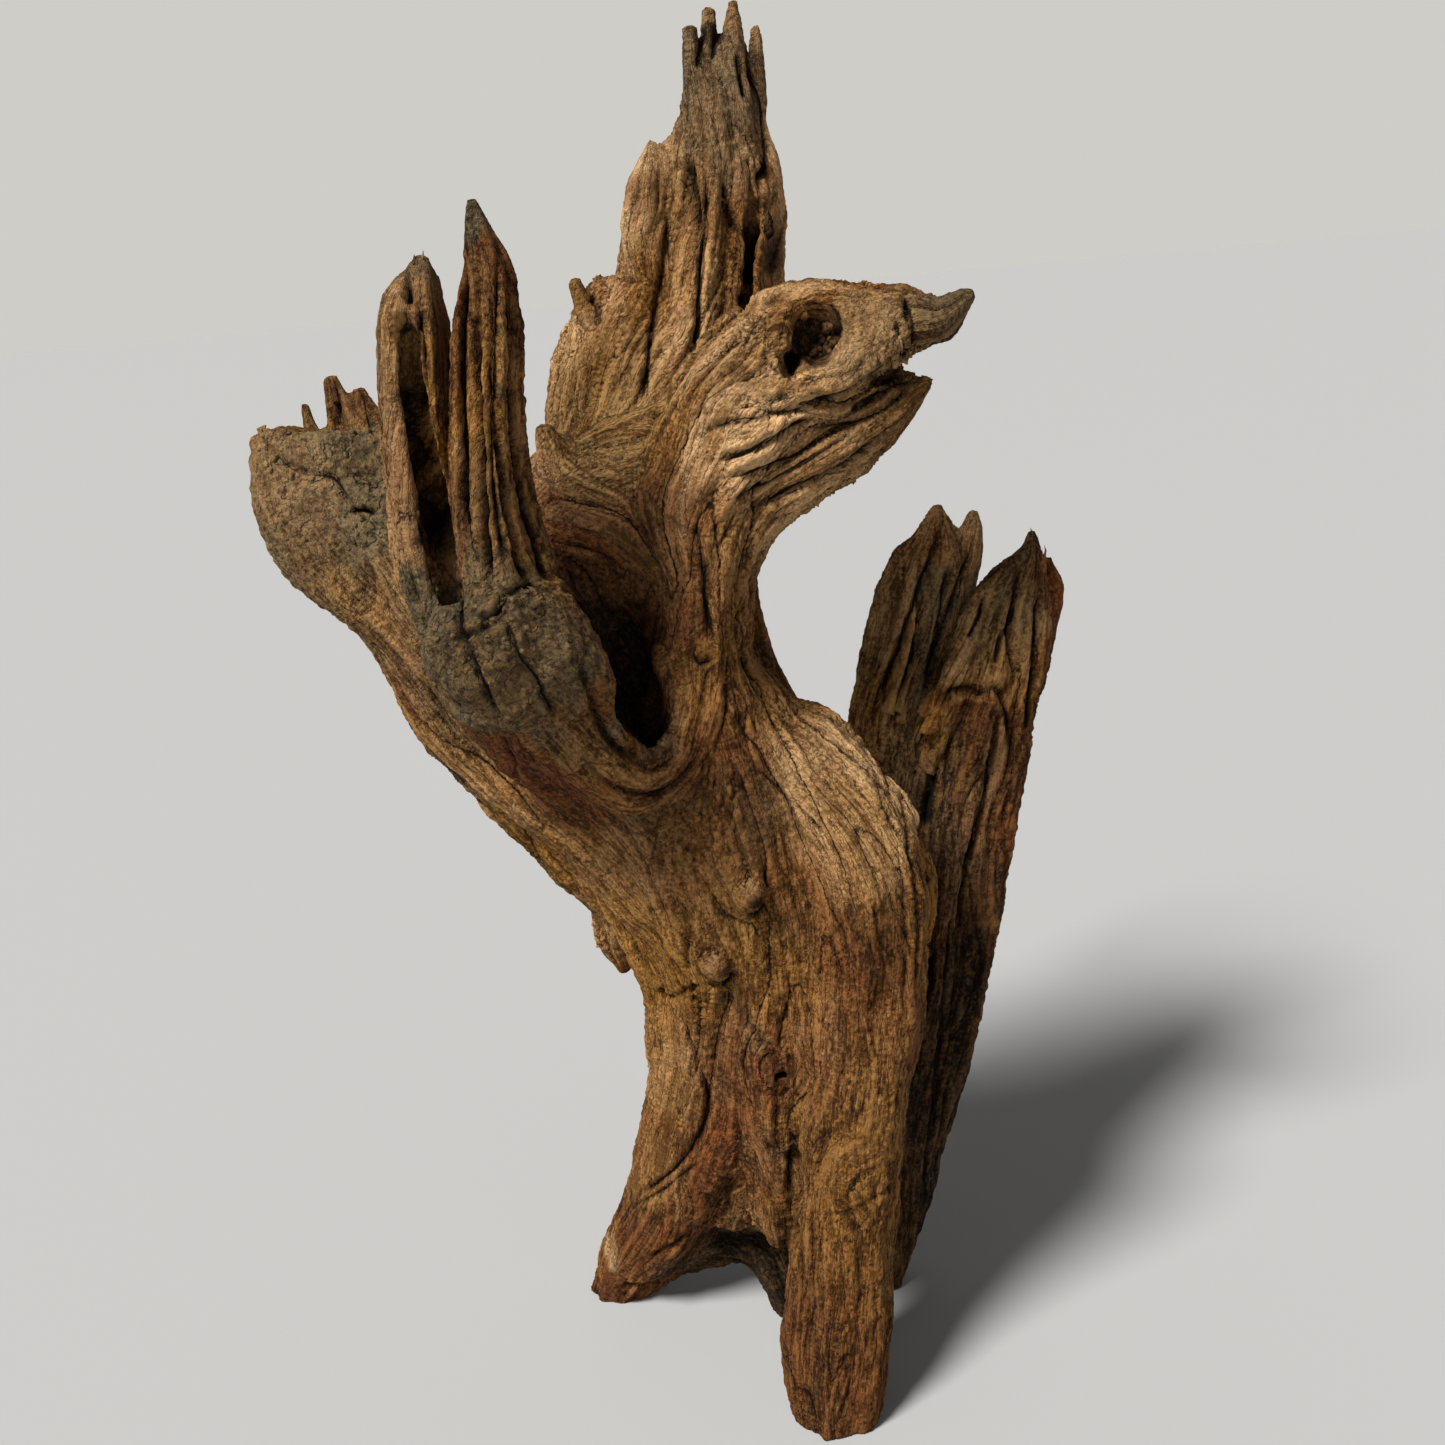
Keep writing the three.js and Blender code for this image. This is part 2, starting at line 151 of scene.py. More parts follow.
def list_limbs():
    add("root_stock", "trunk", 10, FRONT, (9, 0.05), [
        (-38, 70, 52, 26, 15), (-31, 66, 90, 28, 21), (-26, 61, 130, 31.5, 24), (-20, 56, 170, 42, 27),
        (-19, 53, 205, 48, 29), (-20, 50, 235, 47, 30), (-24, 49, 258, 34, 28), (-24, 48, 272, 20, 24)])
    add("neck", "neck", 12, FRONT, (6, 0.05), [
        (-20, 50, 236, 34, 26), (-23, 49, 262, 24, 26), (-24, 48, 290, 14, 24), (-22, 50, 318, 16, 22),
        (-25, 56, 338, 22, 19)])
    add("web", "trunk", 12, FRONT, (6, 0.05), [
        (-14, 52, 50, 9, 12), (-11, 47, 78, 14, 15), (-8, 42, 110, 18, 17), (-4, 42, 150, 22, 18),
        (0, 46, 190, 24, 20), (0, 50, 222, 18, 18)])
    add("rear_web", "trunk", 10, FRONT, (6, 0.06), [
        (8, 72, 44, 12, 9), (16, 72, 80, 20, 13), (23, 74, 120, 23, 15), (26, 76, 160, 24, 16),
        (25, 74, 195, 22, 16), (18, 68, 222, 14, 12)])
    add("saddle", "saddle", 12, FRONT, (8, 0.05), [
        (-92, 66, 292, 28, 20), (-74, 68, 322, 28, 20), (-50, 70, 340, 28, 20), (-26, 66, 344, 26, 22)])
    add("pocket_back", "saddle", 10, FRONT, (6, 0.04), [
        (-52, 66, 240, 30, 20), (-52, 70, 280, 30, 16), (-50, 72, 320, 28, 16)])
    add("pocket_lip", "trunk", 6, FRONT, SMOOTH, [
        (-72, 0, 278, 8, 8), (-63, 5, 263, 8, 8), (-52, 10, 254, 8, 8), (-40, 16, 256, 8, 8),
        (-31, 23, 268, 8, 8), (-27, 30, 286, 8, 9), (-25, 34, 310, 8, 9)])
    add("knob_upper", "trunk", 3, TOP, SMOOTH, [
        (-15, 40, 207, 7, 7), (-15, 23, 207, 5.4, 5.8), (-15, 17, 206.5, 3.8, 4.2),
        (-15, 13.5, 207, 1.6, 1.8)])
    add("knob_lower", "trunk", 3, TOP, SMOOTH, [
        (-30, 46, 180, 7, 7), (-30, 28, 179, 5.4, 5.4), (-30, 21.5, 179, 3.8, 4),
        (-30, 18, 179.5, 1.6, 1.8)])
    add("edge_flake", "trunk", 2, FRONT, SMOOTH, [
        (-58, 60, 196, 12, 10), (-65, 61, 184, 11, 9), (-66.5, 62, 174, 9.5, 7), (-66, 62, 166, 6, 4.5),
        (-67, 62, 161, 2.3, 2.5)])
    add("leg", "front_leg", 9, FRONT, (7, 0.05), [
        (0, 1, -6, 15, 12), (1, 6, 16, 19, 16), (4, 12, 45, 19, 18), (10, 20, 80, 18, 19),
        (16, 26, 118, 18, 20), (22, 30, 157, 20, 22), (27, 34, 193, 21, 24), (25, 38, 218, 21, 24),
        (13, 44, 237, 17, 22), (-3, 48, 250, 15, 20), (-16, 50, 266, 12, 16)])
    add("foot", "left_foot", 10, FRONT, (7, 0.06), [
        (-31, 64, 112, 26, 22), (-44, 68, 78, 25, 22), (-59, 75, 46, 21, 18), (-75, 81, 20, 16, 13),
        (-89, 84, -4, 10, 8)])
    add("inner_root", "dark_root", 5, FRONT, (6, 0.09), [
        (-34, 80, 92, 22, 11), (-36, 82, 56, 24, 10), (-36, 82, 36, 20, 9)])
    add("root_bridge", "dark_root", 5, FRONT, (5, 0.1), [
        (-66, 78, 30, 15, 11), (-50, 80, 30, 17, 10), (-34, 79, 30, 17, 10), (-22, 74, 23, 13, 9),
        (-15, 66, 8, 9, 8), (-14, 63, -5, 7, 7)])
    add("branch", "left_branch", 12, FRONT, (8, 0.045), [
        (-10, 54, 185, 36, 26), (-48, 54, 235, 44, 28), (-88, 58, 284, 45, 27), (-119, 63, 322, 34.5, 23),
        (-141, 67, 350, 34.5, 19), (-147, 69, 378, 26.5, 14)])
    cut("branch_end", "left_branch", 3, FRONT, (5, 0.04), [
        (-195, 70, 394, 25, 34), (-168, 70, 396.5, 21, 34), (-140, 70, 392, 22, 34),
        (-105, 70, 392, 18, 34)])
    add("rim_shard_a", "left_branch", 3, FRONT, SMOOTH, [
        (-151, 78, 352, 6, 5), (-157, 85, 370, 3, 3), (-159, 87, 381, 1.6, 1.6)])
    add("rim_shard_b", "left_branch", 3, FRONT, SMOOTH, [
        (-138, 78, 348, 9, 6), (-145, 84, 372, 6, 4), (-148, 86, 389, 3, 2.5)])
    add("rim_shard_c", "left_branch", 3, FRONT, SMOOTH, [
        (-126, 78, 344, 10, 6), (-134, 84, 366, 7, 4), (-139, 86, 384, 2.5, 2)])
    add("knuckle", "burl", 10, FRONT, (7, 0.04), [
        (-52, 54, 248, 28, 30), (-66, 28, 276, 30, 30), (-80, 4, 299, 29, 28), (-88, -12, 310, 24, 24),
        (-91, -20, 314, 17, 17)])
    add("left_horn", "left_spire", 4, (0.3, -1, 0), (5, 0.1), [
        (-99, 8, 300, 12, 12), (-105, 3, 330, 12, 11), (-106, 3, 355, 10.5, 10),
        (-104.5, 4, 380, 10.5, 9), (-102, 5, 402, 10.3, 8), (-100.6, 5, 411, 9.3, 6.5),
        (-98, 5, 418, 6.3, 4), (-96, 5, 424.8, 1.9, 1.8)])
    cut("horn_channel", "left_spire", 2, FRONT, SMOOTH, [
        (-96, -8, 314, 5, 9), (-101, -8, 350, 5, 10), (-103, -6, 378, 3.5, 9), (-102, -2, 400, 2, 6)])
    add("right_horn", "right_spire", 4, FRONT, (5, 0.11), [
        (-76, 4, 298, 17, 14), (-81, -3, 325, 15, 13), (-84, -4, 350, 12.5, 12),
        (-82.5, -2, 378, 10.5, 11), (-79.2, 0, 402, 10, 9), (-76.8, 0, 418, 7.6, 6),
        (-78.2, 0, 430, 4.2, 3.5), (-79, 0, 439, 1.4, 1.3)])
    add("cheek", "saddle", 12, FRONT, SMOOTH, [
        (-66, 62, 338, 18, 16), (-48, 58, 328, 18, 16), (-34, 54, 312, 17, 16), (-26, 52, 292, 14, 16)])
    add("saddle_spur", "saddle", 4, FRONT, SMOOTH, [
        (-66, 62, 350, 9, 9), (-70, 57, 360, 5.5, 5.5), (-72, 54, 368, 3, 3)])
    cut("pocket", "trunk neck saddle burl", 5, FRONT, SMOOTH, [
        (-64, 8, 330, 7, 16), (-58, 16, 312, 10, 22), (-52, 20, 292, 11.5, 28), (-47.5, 24, 274, 9, 22),
        (-45.5, 24, 262, 4, 10)])
    add("head", "head_branch", 10, FRONT, (8, 0.04), [
        (-24, 54, 316, 14, 18), (-14, 51, 342, 26, 21), (2, 50, 364, 33, 22), (19, 51, 376, 33, 21),
        (36, 51, 385, 25, 17), (50, 51, 391, 12.5, 12), (62, 50, 392.5, 7, 7), (73, 50, 400, 2, 2.2)])
    add("brow", "head_branch", 4, FRONT, SMOOTH, [
        (20, 52, 397, 9, 12), (36, 52, 397, 7, 10), (49, 51, 397.5, 4.5, 6), (57, 50, 396, 2.5, 4)])
    add("lower_jaw", "head_branch", 5, FRONT, (5, 0.08), [
        (8, 50, 350, 14, 16), (28, 50, 358, 13, 14), (44, 49, 365, 8.5, 10), (57, 48, 373, 2.2, 4)])
    cut("eye_socket", "head_branch", 6, FRONT, SMOOTH, [
        (12, 22, 390, 10, 7), (26, 23, 394, 13, 9), (42, 26, 398, 7, 6)])
    cut("eye", "head_branch", 1.2, TOP, (3, 0.12), [
        (21, 20, 391.5, 11, 12), (20, 34, 391, 10, 11), (18, 44, 390, 5, 5.5)])
    cut("eye_pit", "head_branch", 1.5, TOP, SMOOTH, [
        (9.5, 20, 383.5, 3.4, 5.5), (11, 34, 383, 3.4, 5), (13, 50, 382, 2.4, 3.5)])
    cut("jaw_slit", "head_branch", 1.5, FRONT, SMOOTH, [
        (22, 26, 371, 0.8, 4), (38, 30, 375, 1.2, 8), (50, 40, 378.7, 2.3, 16), (64, 46, 382.5, 4.5, 20)])
    add("slab", "tall_branch", 8, FRONT, (8, 0.08), [
        (-42, 66, 322, 20, 16), (-45, 74, 348, 27, 18), (-38, 83, 374, 31.5, 16), (-21, 89, 394, 32, 14),
        (-15.5, 91, 404, 26.5, 13), (-13.5, 92, 415, 25, 13), (-10.5, 94, 430, 24, 12),
        (-7.8, 95, 445, 21.5, 11), (-5.3, 95, 455, 15, 10), (-3, 95, 468, 11.5, 9),
        (-2, 95.5, 477, 11, 6), (-3, 97, 487, 8, 2.8)])
    add("slab_shoulder", "tall_branch", 4, FRONT, (3, 0.08), [
        (-24, 88, 404, 9, 8), (-29.5, 90, 424, 10.5, 9), (-29, 90, 441, 9, 8), (-27.5, 90, 451, 5, 6),
        (-27, 91, 457, 1.8, 3)])
    add("flap", "tall_branch", 3, FRONT, (4, 0.08), [
        (4, 89, 390, 6, 9), (5.5, 93, 412, 4.3, 8), (10.3, 95, 434, 5.5, 7), (12, 95, 446, 4.2, 5),
        (9.6, 95, 460, 3.2, 3), (10.2, 95, 470, 3.2, 2.6), (10.7, 95, 481, 2.7, 2.2),
        (11.4, 95, 492, 1.1, 1.3)])
    cut("flap_groove", "tall_branch", 1.5, FRONT, SMOOTH, [
        (0, 76, 396, 1.6, 12), (4, 79, 425, 2.4, 12), (5, 82, 448, 1.2, 8)])
    add("tip_a", "tall_branch", 2, FRONT, SMOOTH, [
        (-8, 94, 455, 5, 5), (-11, 93.5, 476, 3.6, 4), (-11, 93.5, 492.5, 2.5, 2.5)])
    add("tip_b", "tall_branch", 2, FRONT, SMOOTH, [
        (-5, 96, 460, 4, 4), (-5, 95.5, 480, 3.2, 3.5), (-4.2, 95.5, 498.5, 2.4, 2)])
    add("tip_c", "tall_branch", 2, FRONT, SMOOTH, [
        (1, 94, 460, 6, 5), (2.6, 94, 480, 4.2, 4), (3.6, 95, 492, 3.2, 2.6), (4.2, 95, 500.5, 1.3, 1.3)])
    add("peg", "tall_branch", 3, FRONT, SMOOTH, [
        (-47, 83, 388, 5, 5), (-55, 85, 403, 3.2, 3.2), (-58.5, 85, 414.5, 2.3, 2.3)])
    add("slab_front", "rear_slab", 6, (0.25, -1, 0), (7, 0.09), [
        (24, 74, -4, 9, 8), (32, 77, 35, 15, 10), (42, 81, 80, 19.5, 12), (53, 85, 121, 20, 13),
        (63, 89, 164, 21.5, 13), (72, 93, 205, 21.5, 12), (81, 97, 244, 21, 11), (91, 101, 272, 18.5, 9),
        (98, 103, 290, 12.5, 7), (102.5, 104, 301, 5, 4), (103.5, 104, 309, 1.5, 1.5)])
    add("slab_edge", "rear_slab", 3, (0.25, -1, 0), SMOOTH, [
        (98, 101, 250, 7, 6), (108, 105, 274, 5, 5), (112.3, 106, 286, 3.4, 3.5),
        (110, 106, 298, 1.3, 1.3)])
    add("slab_back", "back_slab", 5, (0.2, -1, 0), (6, 0.09), [
        (36, 92, 170, 12, 9), (42, 98, 215, 17, 10), (50, 102, 250, 19, 9), (60, 106, 280, 18, 8),
        (66.5, 108, 302, 14, 6), (68, 108, 314, 6.5, 4), (68.5, 108, 322, 1.8, 1.8)])
    add("slab_back_tip", "back_slab", 2, (0.2, -1, 0), SMOOTH, [
        (70, 109, 280, 8, 6), (78, 110, 298, 7, 5), (81.5, 110, 311, 4.6, 3), (82.5, 110, 318, 2.2, 1.6)])
    add("slat", "back_slat", 4, (0.5, -1, 0), (5, 0.07), [
        (9, 72, 236, 9, 10), (-4, 72, 272, 6, 9), (-10, 72, 300, 6, 9), (-12, 72, 326, 8, 10),
        (-18, 70, 346, 8, 10)])
    cut("trunk_dimple", "trunk", 4, FRONT, SMOOTH, [
        (-6, 24, 96, 6, 8), (-4, 24, 78, 4, 7)])
    cut("knot_hole", "trunk", 1.5, TOP, SMOOTH, [
        (-10.5, 18, 132.5, 2.6, 2.6), (-10.5, 34, 130, 1.8, 1.8)])
    cut("back_groove", "trunk", 6, BACK, SMOOTH, [
        (-22, 100, 236, 5, 8), (-30, 96, 190, 7, 12), (-24, 96, 140, 6, 12), (-12, 100, 96, 4, 8)])


list_limbs()
NODES = sorted(frame["nodes"])
note(len(LIMB_ROWS), "limbs for", len(NODES), "nodes")

# %% [markdown]
# ## A limb as a distance
#
# A smooth curve runs through the points. For any place in space the nearest spot on that curve is
# found, and the place is measured sideways from it against the limb's own flutes. The result is a
# distance: negative in the wood, zero on its skin. Distances can be melted together, meshes can't.

# %% Curve and limb
CURVE_STEPS = 5
FLUTE_FADE = 0.5
FADE_LENGTH = 23
MINOR_FLUTE, MINOR_TWIST, MINOR_START = 0.6, 40, 2.9
BROAD_WAVE, BROAD_TWIST, BROAD_START = 0.4, 60, 4.1
PHASE_RUN = 10
END_SLOPE = 2.0
THINNEST = 0.8


def smooth_curve(points):
    """A Catmull-Rom curve through rows of numbers."""
    p = np.array(points, float)
    p = np.vstack([2 * p[0] - p[1], p, 2 * p[-1] - p[-2]])
    t = np.linspace(0, 1, CURVE_STEPS, endpoint=False)[:, None]
    rows = []
    for a, b, c, d in zip(p[:-3], p[1:-2], p[2:-1], p[3:]):
        bend = (2 * a - 5 * b + 4 * c - d) * t * t
        twist = (3 * b - a - 3 * c + d) * t ** 3
        rows.append(0.5 * (2 * b + (c - a) * t + bend + twist))
    return np.vstack(rows + [p[-2:-1]])


class Limb:
    def __init__(self, index, solid, name, nodes, blend, face, flutes, spine):
        self.index, self.solid, self.name, self.blend, self.flutes = index, solid, name, blend, flutes
        self.node = nodes.split()[0]
        self.phase = (spine[0][0] + spine[0][2]) / PHASE_RUN
        curve = smooth_curve(spine).astype(np.float32)
        self.centre = curve[:, :3]
        self.wide = np.maximum(curve[:, 3], THINNEST)
        self.deep = np.maximum(curve[:, 4], THINNEST)
        tangent = np.gradient(self.centre, axis=0)
        self.ahead = tangent / np.linalg.norm(tangent, axis=1)[:, None]
        face = np.array(face, np.float32)
        outward = face - (self.ahead @ face)[:, None] * self.ahead
        self.outward = outward / np.linalg.norm(outward, axis=1)[:, None]
        self.across = np.cross(self.ahead, self.outward)
        steps = np.linalg.norm(np.diff(self.centre, axis=0), axis=1)
        self.along = np.r_[0, np.cumsum(steps)].astype(np.float32)
        reach = np.maximum(self.wide, self.deep)[:, None]
        self.low = (self.centre - reach).min(0)
        self.high = (self.centre + reach).max(0)
        self.girth = float((self.wide.mean() + self.deep.mean()) / 2)

    def near(self, points, margin):
        inside = (points > self.low - margin) & (points < self.high + margin)
        return np.flatnonzero(inside.all(axis=1))

    def nearest(self, points):
        """The curve's segment nearest to each point, and the share along it."""
        best = np.full(len(points), np.float32(1e18))
        segment = np.zeros(len(points), np.int32)
        share = np.zeros(len(points), np.float32)
        for k in range(len(self.centre) - 1):
            step = self.centre[k + 1] - self.centre[k]
            away = points - self.centre[k]
            ahead = away @ step
            length = step @ step
            u = np.clip(ahead / length, 0, 1)
            gap = (away * away).sum(1) - 2 * u * ahead + u * u * length
            closer = gap < best
            best = np.where(closer, gap, best)
            segment = np.where(closer, k, segment)
            share = np.where(closer, u, share)
        return segment, share

    def measure(self, points):
        """Distance outside the limb, its direction there, and the place on it: along, angle."""
        segment, share = self.nearest(points)
        part = share[:, None]

        def at(rows):
            if rows.ndim == 1:
                return rows[segment] * (1 - share) + rows[segment + 1] * share
            return rows[segment] * (1 - part) + rows[segment + 1] * part

        away = points - at(self.centre)
        ahead = at(self.ahead)
        past = (away * ahead).sum(1)
        side = (away * at(self.across)).sum(1)
        out = (away * at(self.outward)).sum(1)
        wide, deep, along = at(self.wide), at(self.deep), at(self.along)
        first = (segment == 0) & (share <= 0)
        last = (segment == len(self.centre) - 2) & (share >= 1)
        over = np.where(first | last, past, 0)
        angle = np.arctan2(out / deep, side / wide)
        edge = np.hypot(wide * np.cos(angle), deep * np.sin(angle))
        count, strength = self.flutes
        if count:
            fade = 1 + FLUTE_FADE * np.sin(along / FADE_LENGTH + self.phase)
            wave = fade * np.cos(count * angle)
            turned = (count - 2) * angle + along / MINOR_TWIST + MINOR_START * self.phase
            wave += MINOR_FLUTE * np.sin(turned)
            wave += BROAD_WAVE * np.sin(3 * angle + along / BROAD_TWIST + BROAD_START * self.phase)
            edge = edge * (1 + strength * wave)
        distance = np.hypot(np.hypot(side, out), over * END_SLOPE) - edge
        return distance, ahead, along, angle


LIMBS = [Limb(index, *row) for index, row in enumerate(LIMB_ROWS)]
note("longest limb", round(max(limb.along[-1] for limb in LIMBS)), "mm")

# %% [markdown]
# ## Melting the limbs together
#
# Where two branches meet, real wood has a fillet, not a crease. A smooth minimum gives one: within
# a few millimetres of equal distance it pulls both below the plain minimum. The same pass adds up
# the limbs' directions, which is the grain. A direction and its opposite are the same grain, so it
# is added as a tensor, the product of the direction with itself, and not as an arrow.

# %% Smooth union
REACH = 20
FLOW_FALLOFF = 5.0
FAR = 60.0


def melt(a, b, width):
    share = np.clip(0.5 + 0.5 * (b - a) / width, 0, 1)
    return b * (1 - share) + a * share - width * share * (1 - share)


def wood_at(points, tensor=None):
    """Distance outside the wood at each point. The grain tensor is added up where it is asked for."""
    distance = np.full(len(points), FAR, np.float32)
    for limb in LIMBS:
        rows = limb.near(points, REACH)
        if not len(rows):
            continue
        gap, ahead, _, _ = limb.measure(points[rows])
        if not limb.solid:
            distance[rows] = -melt(-distance[rows], gap, limb.blend)
            continue
        distance[rows] = melt(distance[rows], gap, limb.blend)
        if tensor is not None:
            weight = np.exp(-gap / FLOW_FALLOFF)
            for column, (i, j) in enumerate(PAIRS):
                tensor[rows, column] += weight * ahead[:, i] * ahead[:, j]
    return np.maximum(distance, -points[:, 2])


PAIRS = [(0, 0), (1, 1), (2, 2), (0, 1), (1, 2), (2, 0)]

# %% [markdown]
# ## Sampling only the skin
#
# A full grid at this size would hold ten million places, and only those near the skin matter. So a
# coarse grid goes first, and each coarse cell that may hold skin is filled in with fine samples.

# %% Sample the field
GRID_STEP = 1.8
COARSE = 4
GRID_LOW = np.array([-188.0, -42.0, -6.0])
GRID_HIGH = np.array([128.0, 128.0, 508.0])
CHUNK = 150000


def sample_field():
    blocks = np.ceil((GRID_HIGH - GRID_LOW) / (GRID_STEP * COARSE)).astype(int)
    middles = [GRID_LOW[i] + ((np.arange(blocks[i]) + 0.5) * COARSE - 0.5) * GRID_STEP for i in range(3)]
    coarse_points = np.stack(np.meshgrid(*middles, indexing="ij"), -1).reshape(-1, 3)
    coarse = wood_at(coarse_points.astype(np.float32)).reshape(blocks)
    near = np.abs(coarse) < GRID_STEP * COARSE * 1.32 + 1
    field = coarse.repeat(COARSE, 0).repeat(COARSE, 1).repeat(COARSE, 2)
    offsets = np.stack(np.meshgrid(*[np.arange(COARSE)] * 3, indexing="ij"), -1).reshape(-1, 3)
    cells = (np.argwhere(near)[:, None, :] * COARSE + offsets[None]).reshape(-1, 3)
    points = (GRID_LOW + cells * GRID_STEP).astype(np.float32)
    tensor = np.zeros((len(cells), len(PAIRS)), np.float32)
    fine = np.empty(len(cells), np.float32)
    for start in range(0, len(cells), CHUNK):
        part = slice(start, start + CHUNK)
        fine[part] = wood_at(points[part], tensor[part])
    field[tuple(cells.T)] = fine
    return field, cells, points, tensor


FIELD, CELLS, CELL_POINTS, TENSOR = sample_field()
note("field of", FIELD.shape, "with", len(CELLS), "fine samples")

# %% [markdown]
# ## From a field to a mesh
#
# Surface nets put one vertex in each grid cell that the skin passes through, at the average of the
# places where the skin crosses that cell's edges. Every edge that it crosses becomes one quad. The
# quads are even in size, which suits a surface that is displaced afterwards.

# %% Surface nets
def refine(field):
    """Twice as many samples each way, the new ones half way between the old ones."""
    for axis in range(3):
        before = np.swapaxes(field, 0, axis)
        after = np.empty((2 * before.shape[0] - 1,) + before.shape[1:], np.float32)
        after[::2] = before
        after[1::2] = (before[1:] + before[:-1]) / 2
        field = np.swapaxes(after, 0, axis)
    return np.ascontiguousarray(field)


def surface_nets(field, low, step):
    inside = field < 0
    size = np.array(field.shape)
    count = np.zeros(size - 1, np.uint8)
    for corner in np.ndindex(2, 2, 2):
        count += inside[tuple(slice(c, n - 1 + c) for c, n in zip(corner, size))]
    crossed = (count > 0) & (count < 8)
    cells = np.argwhere(crossed)
    index = np.full(size - 1, -1, np.int32)
    index[crossed] = np.arange(len(cells))
    total, hits = np.zeros((len(cells), 3)), np.zeros(len(cells))
    units = np.eye(3, dtype=int)
    for axis in range(3):
        first, second = [i for i in range(3) if i != axis]
        for a, b in np.ndindex(2, 2):
            start = cells + a * units[first] + b * units[second]
            here = field[tuple(start.T)]
            there = field[tuple((start + units[axis]).T)]
            hit = (here < 0) != (there < 0)
            share = np.where(hit, here / np.where(hit, here - there, 1), 0)
            total[hit] += (start + share[:, None] * units[axis])[hit]
            hits[hit] += 1
    vertices = low + total / hits[:, None] * step
    quads = []
    for axis in range(3):
        first, second = [i for i in range(3) if i != axis]
        here = inside[tuple(slice(0, -1) if i == axis else slice(None) for i in range(3))]
        there = inside[tuple(slice(1, None) if i == axis else slice(None) for i in range(3))]
        edges = np.argwhere(here != there)
        low_side = (edges[:, first] > 0) & (edges[:, second] > 0)
        high_side = (edges[:, first] < size[first] - 1) & (edges[:, second] < size[second] - 1)
        edges = edges[low_side & high_side]
        turns = [units[first] + units[second], units[second], 0 * units[first], units[first]]
        ring = np.stack([index[tuple((edges - turn).T)] for turn in turns], 1)
        flip = inside[tuple(edges.T)] == (axis == 1)
        ring[flip] = ring[flip][:, ::-1]
        quads.append(ring)
    return vertices.astype(np.float32), np.vstack(quads)


def vertex_normals(vertices, quads):
    """Unit normals, each the sum of the normals of the faces around a vertex."""
    a, b, c, d = (vertices[quads[:, i]] for i in range(4))
    face = np.cross(c - a, d - b)
    normals = np.zeros((len(vertices), 3))
    for axis in range(3):
        for corner in range(4):
            normals[:, axis] += np.bincount(quads[:, corner], face[:, axis], len(vertices))
    length = np.linalg.norm(normals, axis=1)
    return (normals / np.maximum(length, 1e-9)[:, None]).astype(np.float32)


FINE_STEP = GRID_STEP / 2
SKIN, QUADS = surface_nets(refine(FIELD), GRID_LOW, FINE_STEP)
SKIN_NORMALS = vertex_normals(SKIN, QUADS)
note("skin of", len(SKIN), "vertices and", len(QUADS), "quads")

# %% [markdown]
# ## Whose wood it is
#
# The piece is split at its main forks, so each vertex has to know which branch it belongs to. The
# nearest limb tells. It also tells how thick the wood is there, because a thin tip can't carry
# grooves as deep as the trunk's, and it gives the place along and around the limb for fine fibres.

# %% Measure the skin
SIDE_BLEND = 4.0


def measure_skin(points):
    lowest = np.full((len(points), len(NODES)), FAR, np.float32)
    nearest = np.full(len(points), FAR, np.float32)
    girth = np.full(len(points), 10, np.float32)
    fibre = np.zeros((len(points), 3), np.float32)
    for limb in LIMBS:
        if not limb.solid:
            continue
        rows = limb.near(points, REACH)
        gap, _, along, angle = limb.measure(points[rows])
        column = NODES.index(limb.node)
        lowest[rows, column] = np.minimum(lowest[rows, column], gap)
        closer = gap < nearest[rows]
        own = rows[closer]
        nearest[own] = gap[closer]
        place = np.searchsorted(limb.along, along[closer]).clip(0, len(limb.wide) - 1)
        girth[own] = np.minimum(limb.wide, limb.deep)[place]
        fibre[own, 0] = along[closer] + 211 * limb.index
        fibre[own, 1] = angle[closer] * limb.girth
        fibre[own, 2] = limb.index * 37
    weights = np.exp(-(lowest - lowest.min(1)[:, None]) / SIDE_BLEND)
    return weights / weights.sum(1)[:, None], girth, fibre


WEIGHTS, GIRTH, FIBRE = measure_skin(SKIN)
note("mean half thickness", round(float(GIRTH.mean()), 1), "mm")

# %% [markdown]
# ## Looking along the camera
#
# Knots, cracks and stains are placed by the pixel where the photograph shows them. A ray from the
# camera through that pixel meets the skin, and the detail is then a place on the wood in three
# dimensions. So it stays where it is from every side.

# %% Rays to the skin
from mathutils.bvhtree import BVHTree

SKIN_TREE = BVHTree.FromPolygons(SKIN.tolist(), QUADS.tolist())


def on_skin(x, y):
    """The first place on the skin behind a pixel of the photograph, or None."""
    side = (x - PHOTO_SIZE / 2) / FOCAL
    rise = -(y - PHOTO_SIZE / 2) / FOCAL
    ray = AHEAD + side * RIGHT + rise * UP
    hit = SKIN_TREE.ray_cast(Vector(EYE), Vector(ray))[0]
    return None if hit is None else np.array(hit, np.float32)


note("the shoulder's top is at", np.round(on_skin(850, 735)))

# %% [markdown]
# ## Grain
#
# Grain runs along a limb, and between two limbs it takes the direction that both agree on: the
# strongest direction of the summed tensor. Repeated multiplication finds it. A knot parts the grain
# as a pole parts a stream, so the formula for a stream round a pole bends it. A slow waver keeps it
# from looking combed.

# %% Smooth random fields
NOISE_SIZE = 180
NOISE_CELLS = 10
RANDOM = np.random.default_rng(SEED)


